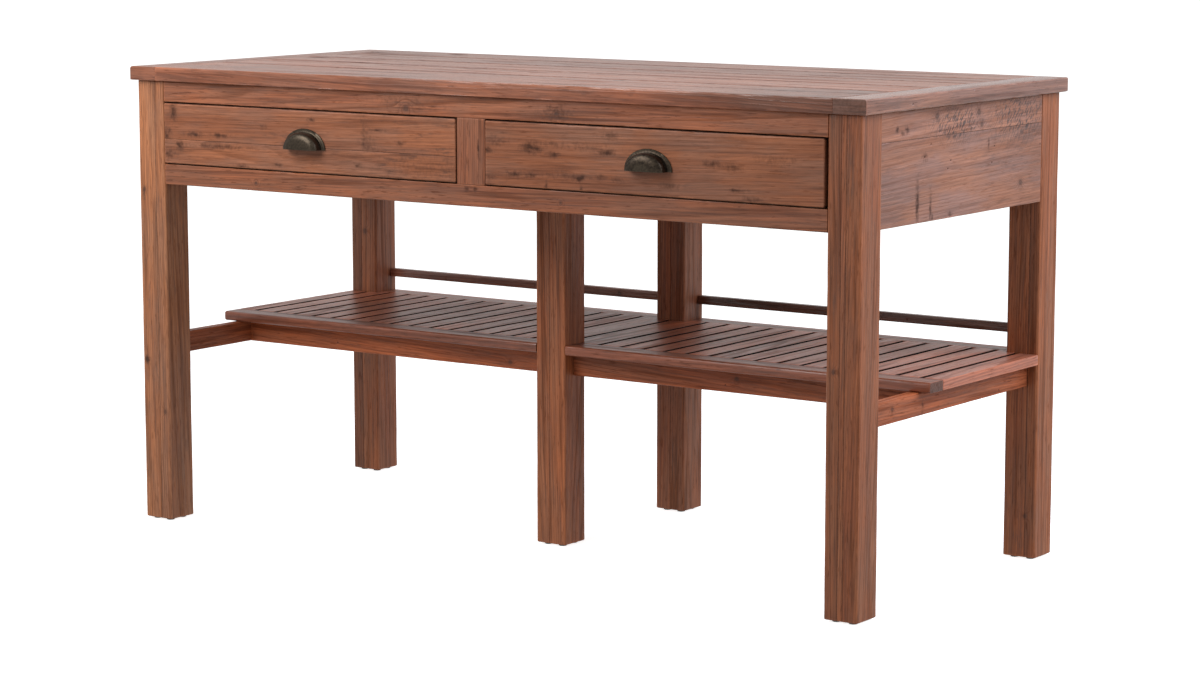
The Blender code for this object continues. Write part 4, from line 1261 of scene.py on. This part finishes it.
# %% The hood
PULL_RIM = 0.0085        # flat rim round the hood
PULL_FULLNESS = 4.0      # of the hood's section: 2 is an oval, more is squarer
PULL_PLATE = 0.002       # thickness of the rim
PULL_WALL = 0.0018
BACK_EASE, RIM_EASE = 0.0004, 0.0005         # arrises of the rim, on the drawer and outside
HOOD_FOOT = 0.0020       # the rim starts to climb this far from the hood
HOOD_FILLET = 0.0006
HOOD_POINTS = 15         # along a quarter of the section
HOOD_TURNS = 49          # half way round
ARRIS_RUB = 0.6
LIP_RUB = 0.06           # fingers rub this much of the turn at the lower lip, in radians
PULL_PAINTED_LIGHT = {"left": 0.6, "right": 0.0}      # the left pull, nearer the lamp, is painted brighter


def pull_section(radius, reach):
    """Points (radius r, height h off the drawer) of rim, outside and inside, and where the arrises are.

    The outside climbs from the rim as a quarter of a full oval, (r / bowl)^n + (h / reach)^n = 1; the
    inside follows it one wall deeper.
    """
    bowl = radius - PULL_RIM
    turn = np.linspace(0, np.pi / 2, HOOD_POINTS)
    lobe = np.stack([np.cos(turn), np.sin(turn)]) ** (2 / PULL_FULLNESS)
    rim = np.array([[radius - BACK_EASE, radius, radius, radius - RIM_EASE, bowl + HOOD_FOOT],
                    [0, BACK_EASE, PULL_PLATE - RIM_EASE, PULL_PLATE, PULL_PLATE]])
    outside = np.stack([bowl * lobe[0], PULL_PLATE + (reach - PULL_PLATE) * lobe[1]])
    outside[:, 0] += HOOD_FILLET
    inside = np.stack([(bowl - PULL_WALL) * lobe[0][::-1], (reach - PULL_WALL) * lobe[1][::-1]])
    section = np.concatenate([rim, outside, inside], axis=1)
    tip = rim.shape[1] + HOOD_POINTS
    edge = np.zeros(section.shape[1])
    edge[1:4] = 1
    edge[tip - 2:tip + 2] = 1
    return section, edge


def cup_pull(low, high, painted_light):
    """The section carried half way round: x = r cos a, z = r sin a times squeeze, y = -h."""
    radius = (high[0] - low[0]) / 2
    squeeze = (high[2] - low[2]) / radius
    section, edge = pull_section(radius, high[1] - low[1])
    angle = np.linspace(np.pi, 0, HOOD_TURNS)
    across = np.cos(angle)[:, None] * section[0]
    up = np.sin(angle)[:, None] * section[0] * squeeze
    off = np.repeat(section[1][None], len(angle), axis=0)
    centre = (low[0] + high[0]) / 2
    points = np.stack([centre + across, high[1] - off, low[2] + up], axis=-1)
    lip = np.exp(-(np.minimum(angle, np.pi - angle) / LIP_RUB) ** 2)
    # the brightening also paints light over the whole left pull
    return points, {"rub_and_highlight": np.maximum(np.maximum(edge * ARRIS_RUB, painted_light), lip[:, None]) + 0 * off}


for side, painted_light in PULL_PAINTED_LIGHT.items():
    name = "drawer_%s_pull" % side
    dress("brass_" + name, [cup_pull(*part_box(name), painted_light)], BRASS, "drawer_" + side, [name])

# %% [markdown]
# ## What lies inside
#
# Drawer boxes, runners, stops, battens and the partition show when a drawer is open. They could be
# rebuilt like the boards outside, but their solids already have the right shape, grooves included. So
# they keep it and get a finish of plain sanded pine with the grain along each piece.

# %% Plain pine inside
BOX_DYES = ((0.62, 0.40, 0.21), (0.52, 0.32, 0.165), (0.34, 0.18, 0.085))
BOX_PINE = {along: stained_pine("box_pine_" + along, *BOX_DYES, smudge=0.08, rough=0.6, gloss=0.25,
                                plain_along=along) for along in GRAIN_ALONG}
LENGTHWISE = ("_side_", "runner", "stop", "batten", "partition")       # the grain runs from front to back
shown = []
for name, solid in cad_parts.items():
    crosswise = name.endswith(("_back", "_bottom")) and name.startswith("drawer")
    if crosswise or any(word in name for word in LENGTHWISE):
        solid.data.materials.clear()
        solid.data.materials.append(BOX_PINE["x" if crosswise else "y"])
        shown.append(name)
print("solids that stay:", len(shown))

# %% [markdown]
# ## Floor and light
#
# A catalogue picture shows the piece on white, with hardly a shadow. The pale floor glows a little by
# itself, so shadows on it stay faint, and the sky is white to the eye and in reflections but lights the
# wood only softly: the worktop is seen almost edge on, and its sheen is that white mirrored in it. A
# lamp in front on the left and a larger, slightly cool one beyond the right end model the wood. A
# picture of a studio could light it too, but two lamps are easier to understand and to move.

# %% Pale floor
FLOOR_RADIUS = 40.0
FLOOR_START = 0.0005     # the inmost ring, as a share of the ring numbers
FLOOR_RINGS, FLOOR_POINTS = 24, 48
FLOOR_WHITES = (0.88, 0.88, 0.88, 1), (0.92, 0.92, 0.92, 1)
FLOOR_DUST = ((3, 3, 3), 3.0, 0.5)
FLOOR_SHEEN = {"Roughness": 0.9, "Specular IOR Level": 0.1}
FLOOR_GLOW = {"Emission Color": (1, 1, 1, 1), "Emission Strength": 0.85}


def pale_floor():
    """A flat disc: x = r cos a, y = r sin a, with rings that widen by the square of their number."""
    ring = FLOOR_RADIUS * np.linspace(FLOOR_START, 1, FLOOR_RINGS)[:, None] ** 2
    angle = np.linspace(0, 2 * np.pi, FLOOR_POINTS, endpoint=False)
    return np.stack([ring * np.cos(angle), ring * np.sin(angle), 0 * ring * angle], axis=-1)


def pale_floor_finish():
    """Nearly white and dull, with a little light of its own."""
    finish, tree, shader = new_finish("pale_floor")
    dust = clouds(tree, own_place(tree), *FLOOR_DUST)
    tree.links.new(blend(tree, dust, *FLOOR_WHITES), shader.inputs["Base Color"])
    fill(tree, shader, {**FLOOR_SHEEN, **FLOOR_GLOW})
    return finish


grid = pale_floor()
floor_faces = [face[::-1] for face in ring_faces(*grid.shape[:2], 0)[:-1]]       # without the outer end
floor_mesh = bpy.data.meshes.new("pale_floor")
floor_mesh.from_pydata(grid.reshape(-1, 3), [], floor_faces)
floor_mesh.materials.append(pale_floor_finish())
floor = bpy.data.objects.new("pale_floor", floor_mesh)
floor.visible_diffuse = False
floor.visible_glossy = False
bpy.context.scene.collection.objects.link(floor)
print("floor:", len(floor_mesh.polygons), "faces")

# %% White sky
SKY_WHITE = 1.0          # what the eye sees
SKY_LIGHT = 0.40         # what the wood receives
SKY_GLOSS = 0.81         # what is mirrored in it
world = bpy.data.worlds.new("white_sky")
world.use_nodes = True
sky = world.node_tree
ray = node(sky, "LightPath").node.outputs
seen = node(sky, "Mix", {0: ray["Is Glossy Ray"], 2: SKY_WHITE, 3: SKY_GLOSS})
seen = node(sky, "Mix", {0: ray["Is Diffuse Ray"], 2: seen, 3: SKY_LIGHT})
sky.links.new(seen, sky.nodes["Background"].inputs["Strength"])
sky.nodes["Background"].inputs["Color"].default_value = (1, 1, 1, 1)
bpy.context.scene.world = world
print("sky:", SKY_WHITE, SKY_LIGHT, SKY_GLOSS)

# %% Soft lamps
LAMPS = {                # place, aim, width, strength, colour
    "lamp_front_left": ((-1.0, -1.9, 2.1), (-0.4, -0.2, 0.6), 1.5, 45, (1, 1, 1)),
    "lamp_right": ((2.6, 0.5, 2.2), (0.8, 0, 0.6), 2.4, 79, (0.94, 1.05, 1.27)),
}
for name, (place, aim, width, strength, colour) in LAMPS.items():
    lamp_data = bpy.data.lights.new(name, "AREA")
    lamp_data.size = width
    lamp_data.energy = strength
    lamp_data.color = colour
    lamp = bpy.data.objects.new(name, lamp_data)
    lamp.location = place
    lamp.rotation_euler = (Vector(aim) - Vector(place)).to_track_quat("-Z", "Y").to_euler()
    bpy.context.scene.collection.objects.link(lamp)
bpy.context.scene.view_settings.view_transform = "Standard"
print("lamps:", list(LAMPS))
